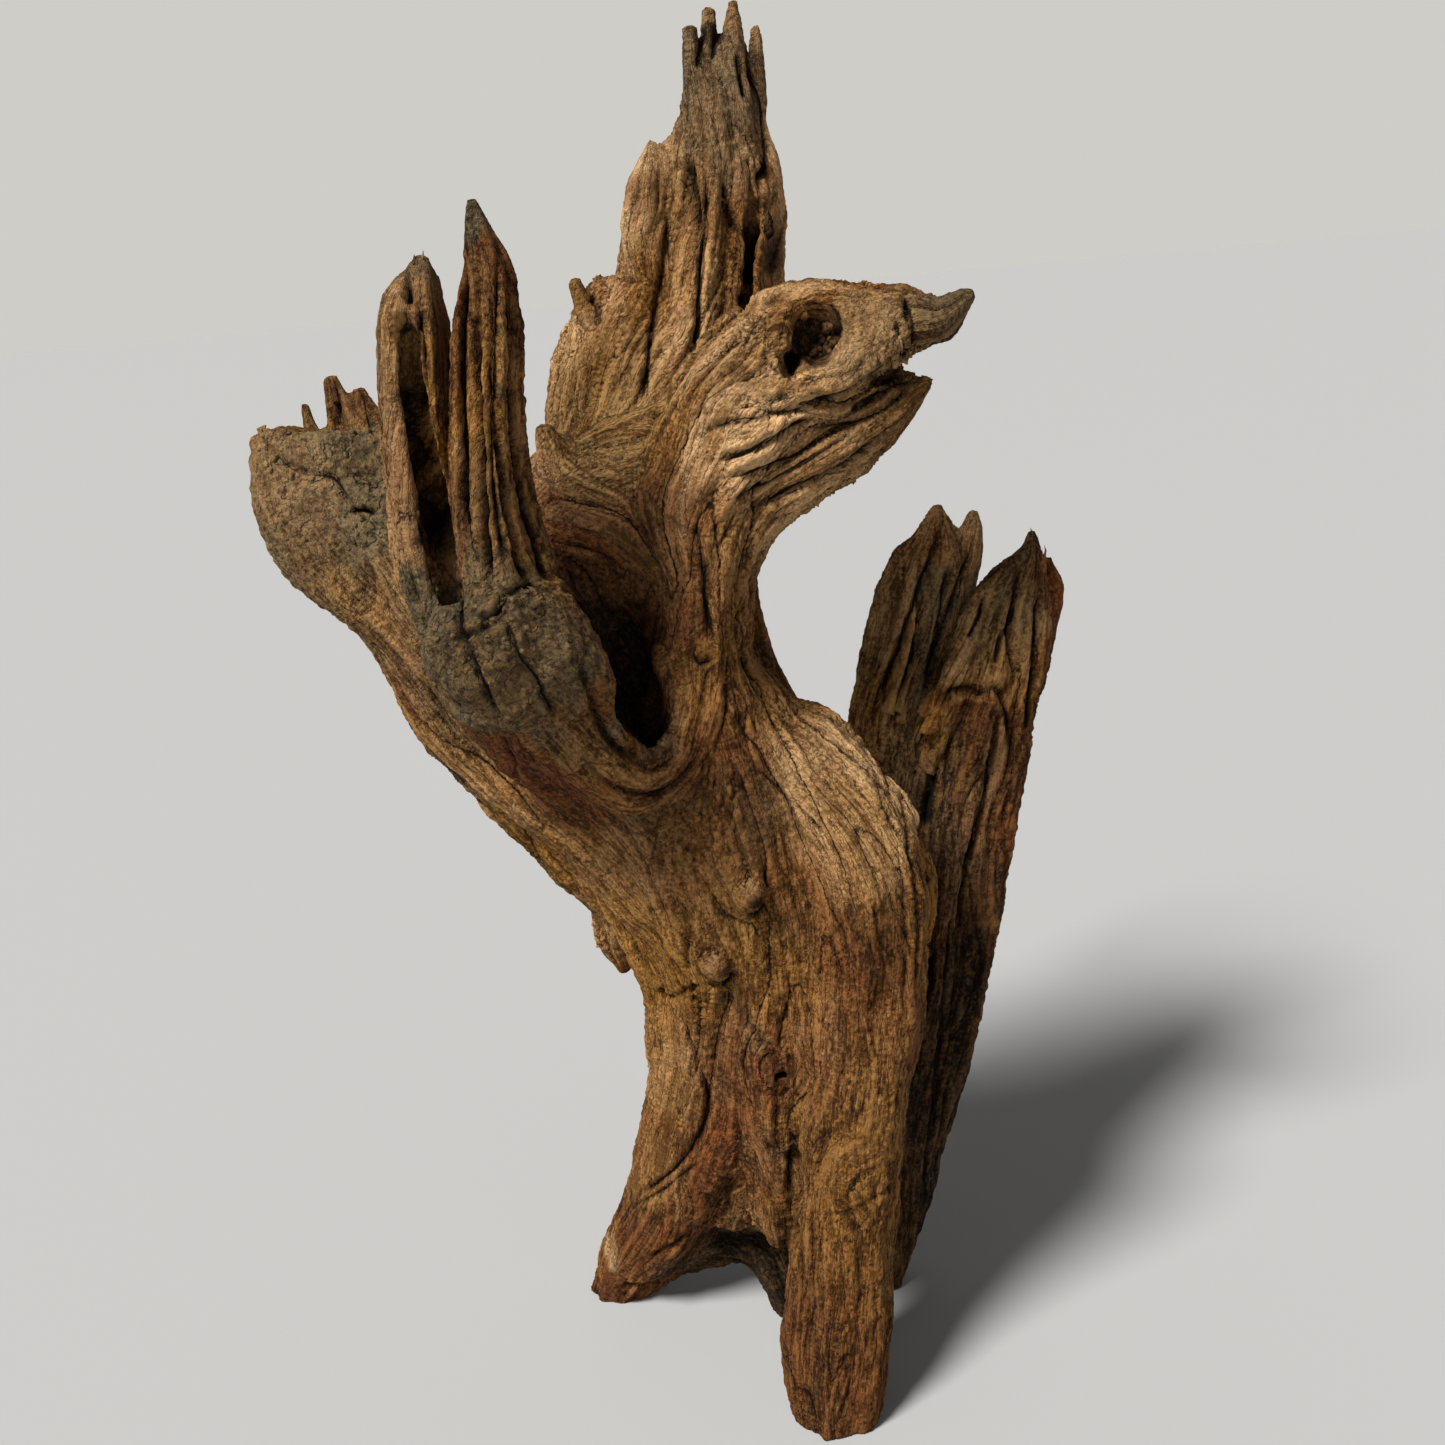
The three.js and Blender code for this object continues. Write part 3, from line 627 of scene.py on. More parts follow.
def make_noise():
    """A block of smooth noise that repeats on every side, with bumps a few cells wide."""
    waves = np.fft.rfftn(RANDOM.standard_normal((NOISE_SIZE,) * 3).astype(np.float32))
    full = np.fft.fftfreq(NOISE_SIZE)
    half = np.fft.rfftfreq(NOISE_SIZE)
    square = full[:, None, None] ** 2 + full[None, :, None] ** 2 + half[None, None, :] ** 2
    band = np.exp(-square * (NOISE_CELLS * 2.2) ** 2) * square
    block = np.fft.irfftn(waves * band, (NOISE_SIZE,) * 3)
    return (block / block.std()).astype(np.float32)


NOISE = make_noise().ravel()


def noise_at(points, width, shift=0):
    """Noise with bumps of this width, in millimetres, at each point."""
    cells = (points * (NOISE_CELLS / width) + shift * 41.3).astype(np.int32) % NOISE_SIZE
    return NOISE[(cells[:, 0] * NOISE_SIZE + cells[:, 1]) * NOISE_SIZE + cells[:, 2]]


note("noise block of", NOISE.size, "cells")

# %% Knots
KNOTS = {
    "knot hole": (778, 1072, 8),
    "curl": (878, 1187, 11),
    "nodule": (705, 650, 6),
    "eye": (812, 342, 14),
    "pocket wall bump": (640, 592, 8),
    "little knot": (455, 702, 5),
    "foot knot": (735, 1175, 12),
    "head knot": (742, 418, 8),
    "branch knot": (345, 590, 10),
}


def place_knots():
    placed = []
    for name, (x, y, radius) in KNOTS.items():
        place = on_skin(x, y)
        if place is not None:
            placed.append((place, radius))
    return placed


KNOT_PLACES = place_knots()
note(len(KNOT_PLACES), "of", len(KNOTS), "knots are on the skin")

# %% Grain directions
WAVER = [(60, 0.13), (20, 0.09)]
KNOT_REACH = 3.5


def unit(rows):
    return rows / np.maximum(np.linalg.norm(rows, axis=1), 1e-9)[:, None]


def strongest(tensor, start):
    """The main direction of each tensor row, by repeated multiplication."""
    xx, yy, zz, xy, yz, zx = tensor.T
    v = start
    for _ in range(9):
        x, y, z = v.T
        v = unit(np.stack([xx * x + xy * y + zx * z, xy * x + yy * y + yz * z, zx * x + yz * y + zz * z], 1))
    return v


def cell_normals():
    slopes = []
    for axis in range(3):
        ahead, behind = CELLS.copy(), CELLS.copy()
        ahead[:, axis] = np.minimum(ahead[:, axis] + 1, FIELD.shape[axis] - 1)
        behind[:, axis] = np.maximum(behind[:, axis] - 1, 0)
        slopes.append(FIELD[tuple(ahead.T)] - FIELD[tuple(behind.T)])
    return unit(np.stack(slopes, 1)).astype(np.float32)


def grain_directions():
    normals = cell_normals()
    start = np.tile(np.array([0.21, 0.13, 0.97], np.float32), (len(CELLS), 1))
    grain = strongest(TENSOR + 1e-9, start)
    grain = unit(grain - (grain * normals).sum(1)[:, None] * normals)
    for place, radius in KNOT_PLACES:
        away = CELL_POINTS - place
        rows = np.flatnonzero((np.abs(away) < radius * KNOT_REACH).all(1))
        away = away[rows] - (away[rows] * normals[rows]).sum(1)[:, None] * normals[rows]
        distance = np.maximum(np.linalg.norm(away, axis=1), 0.5)
        out = away / distance[:, None]
        bend = np.minimum(radius / distance, distance / radius)[:, None] ** 2
        flow = grain[rows]
        flow = flow - bend * (2 * (flow * out).sum(1)[:, None] * out - flow)
        grain[rows] = unit(flow)
    turn = sum(size * noise_at(CELL_POINTS, width, 3) for width, size in WAVER)[:, None]
    side = np.cross(normals, grain)
    return unit(grain * np.cos(turn) + side * np.sin(turn)).astype(np.float32)


GRAIN = grain_directions()
note("grain at", len(GRAIN), "places")

# %% [markdown]
# ## Combing noise along the grain
#
# From each vertex a line is walked along the grain, both ways, and the noise met on the way is
# averaged. Across the grain the noise changes fast, along it hardly at all: that is what wood looks
# like. The picture trick behind it is known as line integral convolution.

# %% Walk the grain
WALK_STEP = 2.4
WALK_STEPS = 16
CELL_INDEX = np.full(FIELD.shape, -1, np.int32)
CELL_INDEX[tuple(CELLS.T)] = np.arange(len(CELLS))


def grain_at(points, heading):
    """The grain at each point, turned to agree with the heading. Away from the skin it is the heading."""
    place = np.rint((points - GRID_LOW) / GRID_STEP).astype(np.int32)
    place = np.clip(place, 0, np.array(FIELD.shape) - 1)
    row = CELL_INDEX[place[:, 0], place[:, 1], place[:, 2]]
    found = np.where(row[:, None] >= 0, GRAIN[row], heading)
    sign = np.where((found * heading).sum(1) < 0, -1, 1)
    return found * sign[:, None]


def walk_grain(points):
    start = np.tile(np.array([0.05, 0.02, 1.0], np.float32), (len(points), 1))
    first = grain_at(points, start).astype(np.float32)
    walks = [points]
    for way in (1, -1):
        place, heading = points, first * way
        for _ in range(WALK_STEPS):
            place = (place + heading * WALK_STEP).astype(np.float32)
            heading = grain_at(place, heading)
            walks.append(place)
    return np.stack(walks), first


WALKS, SKIN_GRAIN = walk_grain(SKIN)
note("walks of", WALKS.shape[0], "places each")

# %% Combed noise
def combed(width, reach, shift):
    """Noise of this width across the grain, drawn out to about twice the reach along it."""
    total = np.zeros(len(SKIN), np.float32)
    steps = min(int(reach / WALK_STEP), WALK_STEPS)
    for way in (0, 1):
        for step in range(0 if way == 0 else 1, steps + 1):
            window = math.cos(0.5 * math.pi * step / (steps + 1)) ** 2
            place = WALKS[0 if step == 0 else way * WALK_STEPS + step]
            total += window * noise_at(place, width, shift)
    return total / total.std()


BROAD = combed(16, 38, 1)
COARSE_GRAIN = combed(8, 38, 2)
MIDDLE_GRAIN = combed(4, 30, 3)
FINE_GRAIN = combed(2.2, 17, 4)
SPLITS = combed(11, 38, 5)
note("combed noise in five widths")

# %% [markdown]
# ## Carving
#
# Weather takes the soft wood between the hard ribs. A rib is round and a valley is narrow, so the
# height follows the size of the combed noise without its sign: it is lowest along the lines where
# the noise crosses nought. Each branch has its own depths, because the tall one and the spires are
# torn wood and the leg is rubbed nearly smooth.

# %% Depths of each branch, in millimetres
CARVING = {
    "trunk": (0.45, 0.20, 0.55, 0.40, 0.50),
    "neck": (0.40, 0.70, 0.90, 0.50, 0.40),
    "saddle": (0.30, 0.25, 0.50, 0.40, 0.30),
    "front_leg": (0.45, 0.30, 0.60, 0.45, 0.35),
    "left_foot": (0.40, 0.40, 0.60, 0.45, 0.30),
    "dark_root": (0.50, 1.20, 1.00, 0.50, 1.00),
    "left_branch": (0.35, 0.35, 0.60, 0.45, 0.40),
    "burl": (0.00, 0.25, 0.45, 0.40, 0.50),
    "left_spire": (0.05, 0.15, 0.35, 0.50, 0.00),
    "right_spire": (0.05, 0.15, 0.35, 0.50, 0.00),
    "head_branch": (0.20, 0.50, 1.15, 0.95, 0.20),
    "tall_branch": (0.40, 0.75, 1.00, 0.55, 0.20),
    "rear_slab": (0.50, 0.90, 1.00, 0.50, 0.30),
    "back_slab": (0.50, 1.00, 1.10, 0.50, 0.30),
    "back_slat": (0.30, 0.50, 0.55, 0.40, 0.20),
}
FULL_GIRTH = 11.0
RIB_EDGE = 0.35
RIB_CREST = 0.55

# %% [markdown]
# Some places have no grain to follow: the bark on the burl, the broken end of the left branch, the
# knobs and the dish beside the eye hole. There the carving gives way to cracked bark, whose cracks
# are the lines where an even noise crosses nought.

# %% Places without grain: pixel, radius in millimetres, share
CALM_PLACES = {
    "burl face": (520, 655, 25, 1.0),
    "burl left": (450, 665, 22, 1.0),
    "burl low": (520, 700, 15, 0.8),
    "branch end": (330, 485, 30, 0.85),
    "branch end left": (278, 475, 22, 0.85),
    "branch end right": (375, 480, 16, 0.9),
    "dish": (868, 328, 13, 0.55),
    "upper knob": (754, 897, 4, 0.8),
    "lower knob": (717, 967, 4, 0.8),
    "scales": (705, 815, 17, 0.55),
    "scales low": (690, 855, 12, 0.5),
    "pocket": (632, 660, 28, 0.7),
    "toe": (604, 1272, 10, 0.7),
    "eye": (810, 338, 13, 1.0),
    "nodule": (705, 650, 5, 0.8),
}
BARK_CRACKS = 0.2
BARK_GRIT = 0.2
SAND = 0.16


def soft_spot(x, y, radius, points, wobble):
    """Rows of the points near a place on the skin, and how much each is in the spot, from 0 to 1."""
    place = on_skin(x, y)
    if place is None:
        return np.zeros(0, int), np.zeros(0, np.float32)
    rows = np.flatnonzero((np.abs(points - place) < radius * 1.9).all(1))
    gap = np.linalg.norm(points[rows] + wobble[rows] * min(1, radius / 12) - place, axis=1) / radius
    soft = np.clip(1.55 - gap, 0, 1)
    return rows, soft * soft * (3 - 2 * soft)


WOBBLE = np.stack([noise_at(SKIN, 12, shift) for shift in (21, 22, 23)], 1) * 2.5


def calm_skin():
    calm = np.zeros(len(SKIN), np.float32)
    for x, y, radius, share in CALM_PLACES.values():
        rows, soft = soft_spot(x, y, radius, SKIN, WOBBLE)
        calm[rows] = np.maximum(calm[rows], soft * share)
    return calm


CALM = calm_skin()


# %% Heights of the carving
def ribs(noise):
    return RIB_CREST - np.exp(-np.abs(noise) / RIB_EDGE)


def carved_heights():
    depths = WEIGHTS @ np.array([CARVING[node] for node in NODES], np.float32)
    room = np.clip(GIRTH / FULL_GIRTH, 0.25, 1)
    grain = depths[:, 0] * BROAD
    grain += depths[:, 1] * ribs(COARSE_GRAIN)
    grain += depths[:, 2] * ribs(MIDDLE_GRAIN)
    grain += depths[:, 3] * ribs(FINE_GRAIN)
    bark = BARK_CRACKS * ribs(noise_at(SKIN, 8, 14) * 1.6) + BARK_GRIT * noise_at(SKIN, 3.2, 15)
    lumps = 1.3 * noise_at(SKIN, 26, 7) + 0.6 * noise_at(SKIN, 12, 8) + 0.25 * noise_at(SKIN, 5, 9)
    height = grain * (1 - CALM) + bark * CALM + depths[:, 4] * lumps
    height += SAND * noise_at(SKIN, 2.6, 17)
    return height * room, room


HEIGHT, ROOM = carved_heights()
note("carved between", round(float(HEIGHT.min()), 1), "and", round(float(HEIGHT.max()), 1), "mm")

# %% [markdown]
# Drying wood splits along the grain. A second combed noise gives long lines, and a slow noise says
# in which patches they open.

# %% Drying splits
SPLIT_WIDTH = 0.42
SPLIT_DEPTH = 1.3


OPEN = np.clip(noise_at(SKIN, 55, 11) * 1.2 - 0.2, 0, 1) * (1 - CALM)
SPLIT = np.exp(-(SPLITS / SPLIT_WIDTH) ** 2) * OPEN
HEIGHT -= SPLIT_DEPTH * SPLIT * ROOM
note("splits cover", round(float((SPLIT > 0.4).mean()) * 100, 1), "% of the skin")

# %% [markdown]
# ## Marks with a place of their own
#
# Some cracks and grooves are part of this piece's looks. Each is a short line of pixels, turned into
# a path on the skin. What lies near the path is pressed in, or raised where the depth is negative.

# %% Named cracks: depth, half width in millimetres, pixels
MARKS = {
    "slab groove": (7, 2.6, [(757, 190), (757, 225), (750, 262), (748, 292)]),
    "slab groove top": (5.0, 1.5, [(746, 52), (753, 84), (762, 110), (765, 145), (759, 182), (754, 205)]),
    "slab crack": (3, 0.9, [(704, 165), (706, 215), (700, 270), (699, 320), (690, 372)]),
    "slab crack left": (2.4, 1.0, [(668, 205), (664, 260), (652, 330), (641, 420)]),
    "slab valley": (2.6, 2.4, [(686, 150), (690, 190), (697, 235), (696, 290)]),
    "crown slit left": (3, 1.1, [(702, 30), (700, 48), (697, 70)]),
    "crown slit middle": (4, 1.5, [(719, 18), (716, 38), (710, 60)]),
    "crown slit right": (3, 1.1, [(736, 52), (741, 76), (745, 100)]),
    "crown fold": (2.2, 1.6, [(690, 160), (694, 200), (700, 232)]),
    "crown fold right": (2.2, 1.4, [(722, 176), (728, 210), (740, 236)]),
    "peg fold": (3, 2.2, [(588, 296), (598, 308), (596, 330)]),
    "branch crease": (4.5, 2.0, [(640, 440), (665, 405), (700, 345), (735, 312), (752, 292)]),
    "head groove deep": (2.8, 1.3, [(712, 462), (755, 448), (790, 430), (812, 418)]),
    "head groove upper": (2.2, 1.5, [(700, 432), (745, 420), (800, 408), (850, 388)]),
    "head groove lower": (2.4, 1.4, [(720, 478), (775, 466), (820, 440), (868, 410)]),
    "head fold": (2.0, 0.9, [(738, 404), (790, 414), (838, 396), (876, 366)]),
    "head fold low": (2.0, 0.9, [(730, 500), (768, 484), (812, 458), (858, 428)]),
    "head fold lower": (2.0, 0.9, [(760, 530), (800, 508), (846, 478), (880, 448)]),
    "head fold lowest": (1.8, 0.9, [(758, 556), (790, 536), (830, 506)]),
    "head groove low": (2.6, 1.5, [(748, 510), (790, 490), (840, 468), (884, 430)]),
    "head groove rim": (1.2, 1.7, [(735, 372), (765, 396), (815, 402), (865, 378), (900, 350)]),
    "jaw slit": (4, 1.5, [(848, 412), (872, 398), (892, 382), (926, 376)]),
    "eye ring": (1.6, 1.0, [(800, 306), (816, 303), (831, 306), (838, 324), (834, 343), (818, 357), (806, 354)]),
    "eye rim": (-2.0, 2.6, [(752, 340), (760, 372), (790, 392), (835, 388), (872, 368), (898, 345)]),
    "beak crack": (2.0, 1.0, [(905, 292), (909, 318), (916, 348)]),
    "beak crack low": (1.8, 0.9, [(893, 318), (905, 345), (902, 362)]),
    "beak edge": (-1.5, 1.6, [(925, 300), (948, 296), (966, 290)]),
    "neck crack": (2.4, 1.0, [(690, 512), (702, 560), (706, 600), (712, 645)]),
    "neck ridge": (-1.8, 2.4, [(716, 540), (722, 590), (716, 640), (718, 700)]),
    "nodule ring": (1.8, 1.0, [(694, 640), (692, 655), (702, 663), (714, 655)]),
    "slat slit": (5, 1.8, [(738, 588), (737, 620), (742, 655), (760, 690)]),
    "lip rim": (-2.2, 2.6, [(596, 745), (618, 772), (650, 780), (676, 762), (692, 735)]),
    "lip fold": (2.0, 1.6, [(575, 742), (600, 778), (640, 794), (680, 782), (700, 752)]),
    "pocket fold": (2.0, 1.6, [(580, 655), (592, 700), (612, 742), (640, 762)]),
    "pocket fold right": (1.6, 1.4, [(590, 700), (606, 738), (628, 758)]),
    "pocket bump edge": (1.4, 1.6, [(622, 600), (640, 606), (650, 588)]),
    "burl crack right": (2.0, 0.8, [(503, 612), (520, 650), (548, 700), (556, 722)]),
    "burl crack left": (2.2, 0.8, [(462, 560), (460, 620), (468, 650), (482, 682), (500, 720)]),
    "burl step": (2.4, 1.6, [(440, 640), (470, 632), (500, 616), (506, 600)]),
    "burl brow": (-1.6, 1.6, [(500, 600), (530, 588), (560, 586), (576, 600)]),
    "slope crack": (1.6, 0.9, [(502, 735), (512, 760), (520, 790)]),
    "slope knot": (2.4, 1.6, [(450, 700), (460, 703)]),
    "left spire channel": (6, 3.6, [(409, 305), (407, 345), (412, 400), (425, 470), (440, 530), (452, 590)]),
    "left spire line": (4, 1.2, [(421, 300), (424, 360), (432, 430), (442, 500)]),
    "left spire notch": (3.5, 1.2, [(402, 262), (408, 280), (410, 305)]),
    "right spire groove": (6, 1.4, [(476, 322), (477, 400), (480, 470), (484, 540), (488, 590)]),
    "right spire groove 2": (6.5, 1.4, [(499, 250), (498, 330), (499, 420), (506, 490), (520, 555), (532, 582)]),
    "right spire groove 3": (3.6, 1.0, [(509, 270), (510, 360), (513, 440), (522, 500), (540, 560), (548, 580)]),
    "right spire groove 4": (4, 1.2, [(465, 260), (463, 320), (462, 400), (464, 470), (466, 540)]),
    "right spire line": (3, 1.0, [(488, 260), (487, 340), (489, 430), (496, 510), (506, 570)]),
    "right spire foot": (3.2, 1.5, [(466, 618), (492, 612), (506, 596), (530, 586), (552, 590)]),
    "branch end crack": (1.6, 0.7, [(268, 446), (286, 462), (312, 474), (334, 478), (344, 492), (354, 504)]),
    "branch end slit": (2.8, 1.2, [(350, 513), (364, 509), (376, 513)]),
    "shard slit": (2.0, 0.8, [(338, 380), (339, 404), (337, 430)]),
    "shard slit right": (1.6, 0.8, [(362, 392), (366, 412), (374, 432)]),
    "branch bark edge": (1.8, 1.4, [(420, 640), (432, 690), (452, 730)]),
    "trunk crack": (1.4, 0.8, [(676, 898), (688, 915), (691, 936), (687, 954), (691, 978)]),
    "trunk shelf": (1.8, 1.2, [(655, 990), (670, 998), (686, 991), (700, 986)]),
    "trunk hole": (2.6, 1.6, [(658, 989), (664, 993)]),
    "trunk valley": (1.8, 2.4, [(716, 984), (732, 1002), (752, 1032), (772, 1058)]),
    "trunk ridge": (-1.4, 1.8, [(700, 878), (712, 900), (722, 915)]),
    "valley edge": (-1.4, 1.5, [(762, 1028), (778, 1046), (790, 1072), (796, 1100)]),
    "trunk curve": (2.0, 1.0, [(700, 1060), (708, 1100), (700, 1135), (672, 1172), (630, 1202)]),
    "trunk fold": (1.6, 1.3, [(672, 1000), (690, 1040), (700, 1070)]),
    "left flank crack": (1.6, 1.0, [(606, 900), (640, 952), (660, 985)]),
    "shoulder crack": (1.5, 0.9, [(756, 765), (790, 800), (830, 838)]),
    "knob foot upper": (2.6, 1.2, [(745, 916), (754, 919), (763, 912), (767, 900)]),
    "knob foot lower": (2.6, 1.2, [(708, 982), (719, 985), (729, 979), (732, 968)]),
    "hook": (1.6, 0.8, [(842, 926), (832, 938), (834, 952)]),
    "leg groove": (1.8, 1.2, [(896, 762), (910, 850), (918, 930), (914, 1010), (904, 1080)]),
    "leg groove 2": (1.5, 1.1, [(880, 790), (898, 860), (905, 950), (900, 1050)]),
    "leg groove 3": (1.4, 1.0, [(918, 800), (928, 880), (930, 960), (920, 1040)]),
    "leg curl": (1.1, 0.9, [(818, 1215), (850, 1212), (884, 1190), (898, 1178), (905, 1160)]),
    "leg seam": (2.2, 1.6, [(800, 1120), (790, 1170), (796, 1230), (800, 1290)]),
    "arch groove": (1.8, 1.4, [(640, 1262), (680, 1240), (716, 1218), (732, 1208)]),
    "foot underside": (2.4, 2.0, [(620, 1288), (650, 1283), (690, 1276)]),
    "foot groove": (1.6, 1.2, [(628, 1208), (664, 1190), (700, 1160)]),
    "slab gap": (6, 2.4, [(926, 735), (930, 780), (924, 830), (930, 870)]),
    "slab ledge": (2.6, 1.6, [(940, 706), (948, 692), (966, 688), (980, 693), (994, 688), (1003, 700), (1006, 722), (1012, 748)]),
    "slab ledge edge": (-1.6, 1.6, [(944, 714), (954, 700), (970, 697), (984, 702), (996, 706), (999, 728), (1004, 752)]),
    "slab fold": (2.2, 1.2, [(985, 598), (976, 622), (968, 640)]),
    "slab fold right": (2.6, 1.4, [(1018, 600), (1010, 625), (1000, 640), (994, 668)]),
    "slab low line": (1.6, 0.9, [(962, 715), (948, 748), (944, 790)]),
    "back blade": (-2.2, 1.5, [(918, 598), (908, 640), (893, 694)]),
    "back blade edge": (2.6, 1.0, [(923, 604), (914, 645), (900, 694)]),
    "back slab fold": (2.4, 1.1, [(948, 560), (940, 610), (930, 660)]),
    "rear groove": (3, 1.6, [(1000, 700), (986, 790), (966, 880), (955, 960)]),
    "rear groove 2": (3, 1.6, [(1020, 560), (1010, 620), (1012, 680)]),
    "rear groove 3": (3.4, 1.6, [(1040, 590), (1034, 660), (1022, 740)]),
    "rear groove 4": (2.4, 1.4, [(955, 900), (945, 990), (935, 1090), (922, 1180)]),
    "back slab groove": (3.6, 1.9, [(944, 520), (920, 590), (894, 660), (870, 710)]),
    "back slab groove 2": (3, 1.5, [(975, 540), (952, 600), (935, 650), (922, 690)]),
}
MARK_REACH = 2.2
NARROWEST = 1.3 * FINE_STEP
TRACE_REACH = 2.6
TRACE_WANDER = 0.5


def skin_path(pixels):
    """Places on the skin under a smooth line through the pixels."""
    path = [on_skin(x, y) for x, y in smooth_curve(pixels)]
    return [place for place in path if place is not None]


def path_distance(path, points, normals):
    """Distance from each point to a path, the share of the way along it, and the side it lies on."""
    best = np.full(len(points), np.float32(1e9))
    share = np.zeros(len(points), np.float32)
    side = np.ones(len(points), np.float32)
    for k in range(max(1, len(path) - 1)):
        start = path[k]
        step = path[min(k + 1, len(path) - 1)] - start
        away = points - start
        u = np.clip(away @ step / max(float(step @ step), 1e-6), 0, 1)
        gap = np.linalg.norm(away - u[:, None] * step, axis=1)
        closer = gap < best
        best = np.where(closer, gap, best)
        share = np.where(closer, (k + u) / max(1, len(path) - 1), share)
        side = np.where(closer, np.sign((np.cross(step, away) * normals).sum(1)), side)
    return best, share, side


def press_marks(height):
    """Presses each mark into the heights. Gives how dark each vertex is from it, how far it is to the
    left or right of the nearest mark's line, and how strong that line is there."""
    shade = np.zeros(len(SKIN), np.float32)
    trace = np.full(len(SKIN), np.float32(TRACE_REACH))
    traced = np.zeros(len(SKIN), np.float32)
    waver = 1 + 0.08 * noise_at(SKIN, 9, 13)
    for name, (depth, width, pixels) in MARKS.items():
        path = skin_path(pixels)
        if len(path) < 2:
            print("no skin under the mark", name)
            continue
        width = max(width, NARROWEST)
        reach = width * MARK_REACH
        low, high = np.min(path, axis=0) - reach, np.max(path, axis=0) + reach
        rows = np.flatnonzero(((SKIN > low) & (SKIN < high)).all(1))
        gap, share, side = path_distance(path, SKIN[rows], SKIN_NORMALS[rows])
        ends = np.clip(np.minimum(share, 1 - share) * 7, 0.25, 1)
        form = np.exp(-(gap / (width * waver[rows])) ** 2) * ends
        height[rows] -= depth * form * np.clip(ROOM[rows] * 1.6, 0, 1)
        if depth > 0:
            # Painted shade: a pressed groove is darkened in the finish, more so the deeper it is.
            shade[rows] = np.maximum(shade[rows], form * min(1, depth / 3))
            nearer = gap < np.abs(trace[rows])
            narrow = np.clip(depth / width * 1.1 - 1, 0, 1)
            ends = np.clip(np.minimum(share, 1 - share) * 5, 0, 1)
            strength = narrow * ends * np.clip(1.6 - gap / TRACE_REACH * 1.6, 0, 1)
            trace[rows] = np.where(nearer, gap * side, trace[rows])
            traced[rows] = np.where(nearer, strength, traced[rows])
    wander = TRACE_WANDER * noise_at(SKIN, 9, 41)
    return shade, trace + wander, traced * np.clip(0.8 + 0.5 * noise_at(SKIN, 15, 42), 0.1, 1)


MARK_SHADE, TRACE, TRACED = press_marks(HEIGHT)
note(len(MARKS), "marks pressed in")

# %% [markdown]
# The vertices now move out or in along their normals. The height against its surroundings is kept
# for the colour, which paints shade into each carved valley. A few rounds of averaging over the
# quads give the surroundings.

# %% Move the skin
def neighbour_mean(values, rounds):
    """Values averaged over the quads round each vertex, several times."""
    count = np.bincount(QUADS.ravel(), minlength=len(SKIN)).astype(np.float32)
    for _ in range(rounds):
        face = values[QUADS].mean(1)
        total = sum(np.bincount(QUADS[:, k], face, len(SKIN)) for k in range(4))
        values = (total / np.maximum(count, 1)).astype(np.float32)
    return values


def smooth_normals(rounds):
    return unit(np.stack([neighbour_mean(SKIN_NORMALS[:, i], rounds) for i in range(3)], 1))


LIMIT = 9.0
GROUND = 0.0


def move_skin():
    push = np.clip(HEIGHT, -LIMIT, LIMIT)
    moved = SKIN + push[:, None] * smooth_normals(4)
    on_ground = SKIN[:, 2] < 0.6
    moved[on_ground] = SKIN[on_ground]
    moved[:, 2] = np.maximum(moved[:, 2], GROUND)
    return moved.astype(np.float32)


WOOD = move_skin()
WOOD_NORMALS = vertex_normals(WOOD, QUADS)
# Painted shade: each carved valley is darkened in the finish by how far it lies below its surroundings.
HOLLOW = np.clip((neighbour_mean(HEIGHT, 12) - HEIGHT) / 1.1, -1.5, 2.5)
note("carved wood from", np.round(WOOD.min(0)), "to", np.round(WOOD.max(0)), "mm")

# %% [markdown]
# ## Tones
#
# The wood isn't one colour. Sound wood is tan, wood that has lain in the light is ochre, the heart
# is red brown, what stood in the air is grey, and what rotted is near black. The near black is also
# painted into holes, gaps and grooves as shade. Each branch has its share of these, and stains with
# a place of their own are added, some of them painted highlights and shadows. All of it is kept in
# attributes on the mesh, so the finish follows the wood through every fork.

# %% Shares of each tone
TONES = ["tan", "umber", "ochre", "russet", "grey", "char"]
# The shares make the high branches lighter and the leg and foot darker, partly their own colour and partly painted
# light falling from above.
NODE_TONES = {
    "trunk": (0.20, 0.18, 0.30, 0.25, 0.06, 0.00),
    "neck": (0.12, 0.58, 0.24, 0.18, 0.16, 0.05),
    "saddle": (0.62, 0.06, 0.32, 0.22, 0.10, 0.00),
    "front_leg": (0.12, 0.42, 0.26, 0.22, 0.06, 0.00),
    "left_foot": (0.02, 1.00, 0.12, 0.34, 0.08, 0.03),
    "dark_root": (0.00, 0.30, 0.00, 0.00, 0.45, 0.90),
    "left_branch": (0.22, 0.18, 0.38, 0.10, 0.25, 0.00),
    "burl": (0.05, 0.30, 0.14, 0.26, 0.40, 0.10),
    "left_spire": (0.45, 0.22, 0.20, 0.20, 0.18, 0.05),
    "right_spire": (0.10, 0.90, 0.22, 0.20, 0.18, 0.15),
    "head_branch": (0.75, 0.00, 0.25, 0.12, 0.14, 0.00),
    "tall_branch": (0.98, 0.04, 0.20, 0.20, 0.14, 0.00),
    "rear_slab": (0.08, 0.76, 0.12, 0.25, 0.30, 0.18),
    "back_slab": (0.34, 0.24, 0.18, 0.08, 0.50, 0.05),
    "back_slat": (0.00, 0.40, 0.15, 0.30, 0.20, 0.20),
}

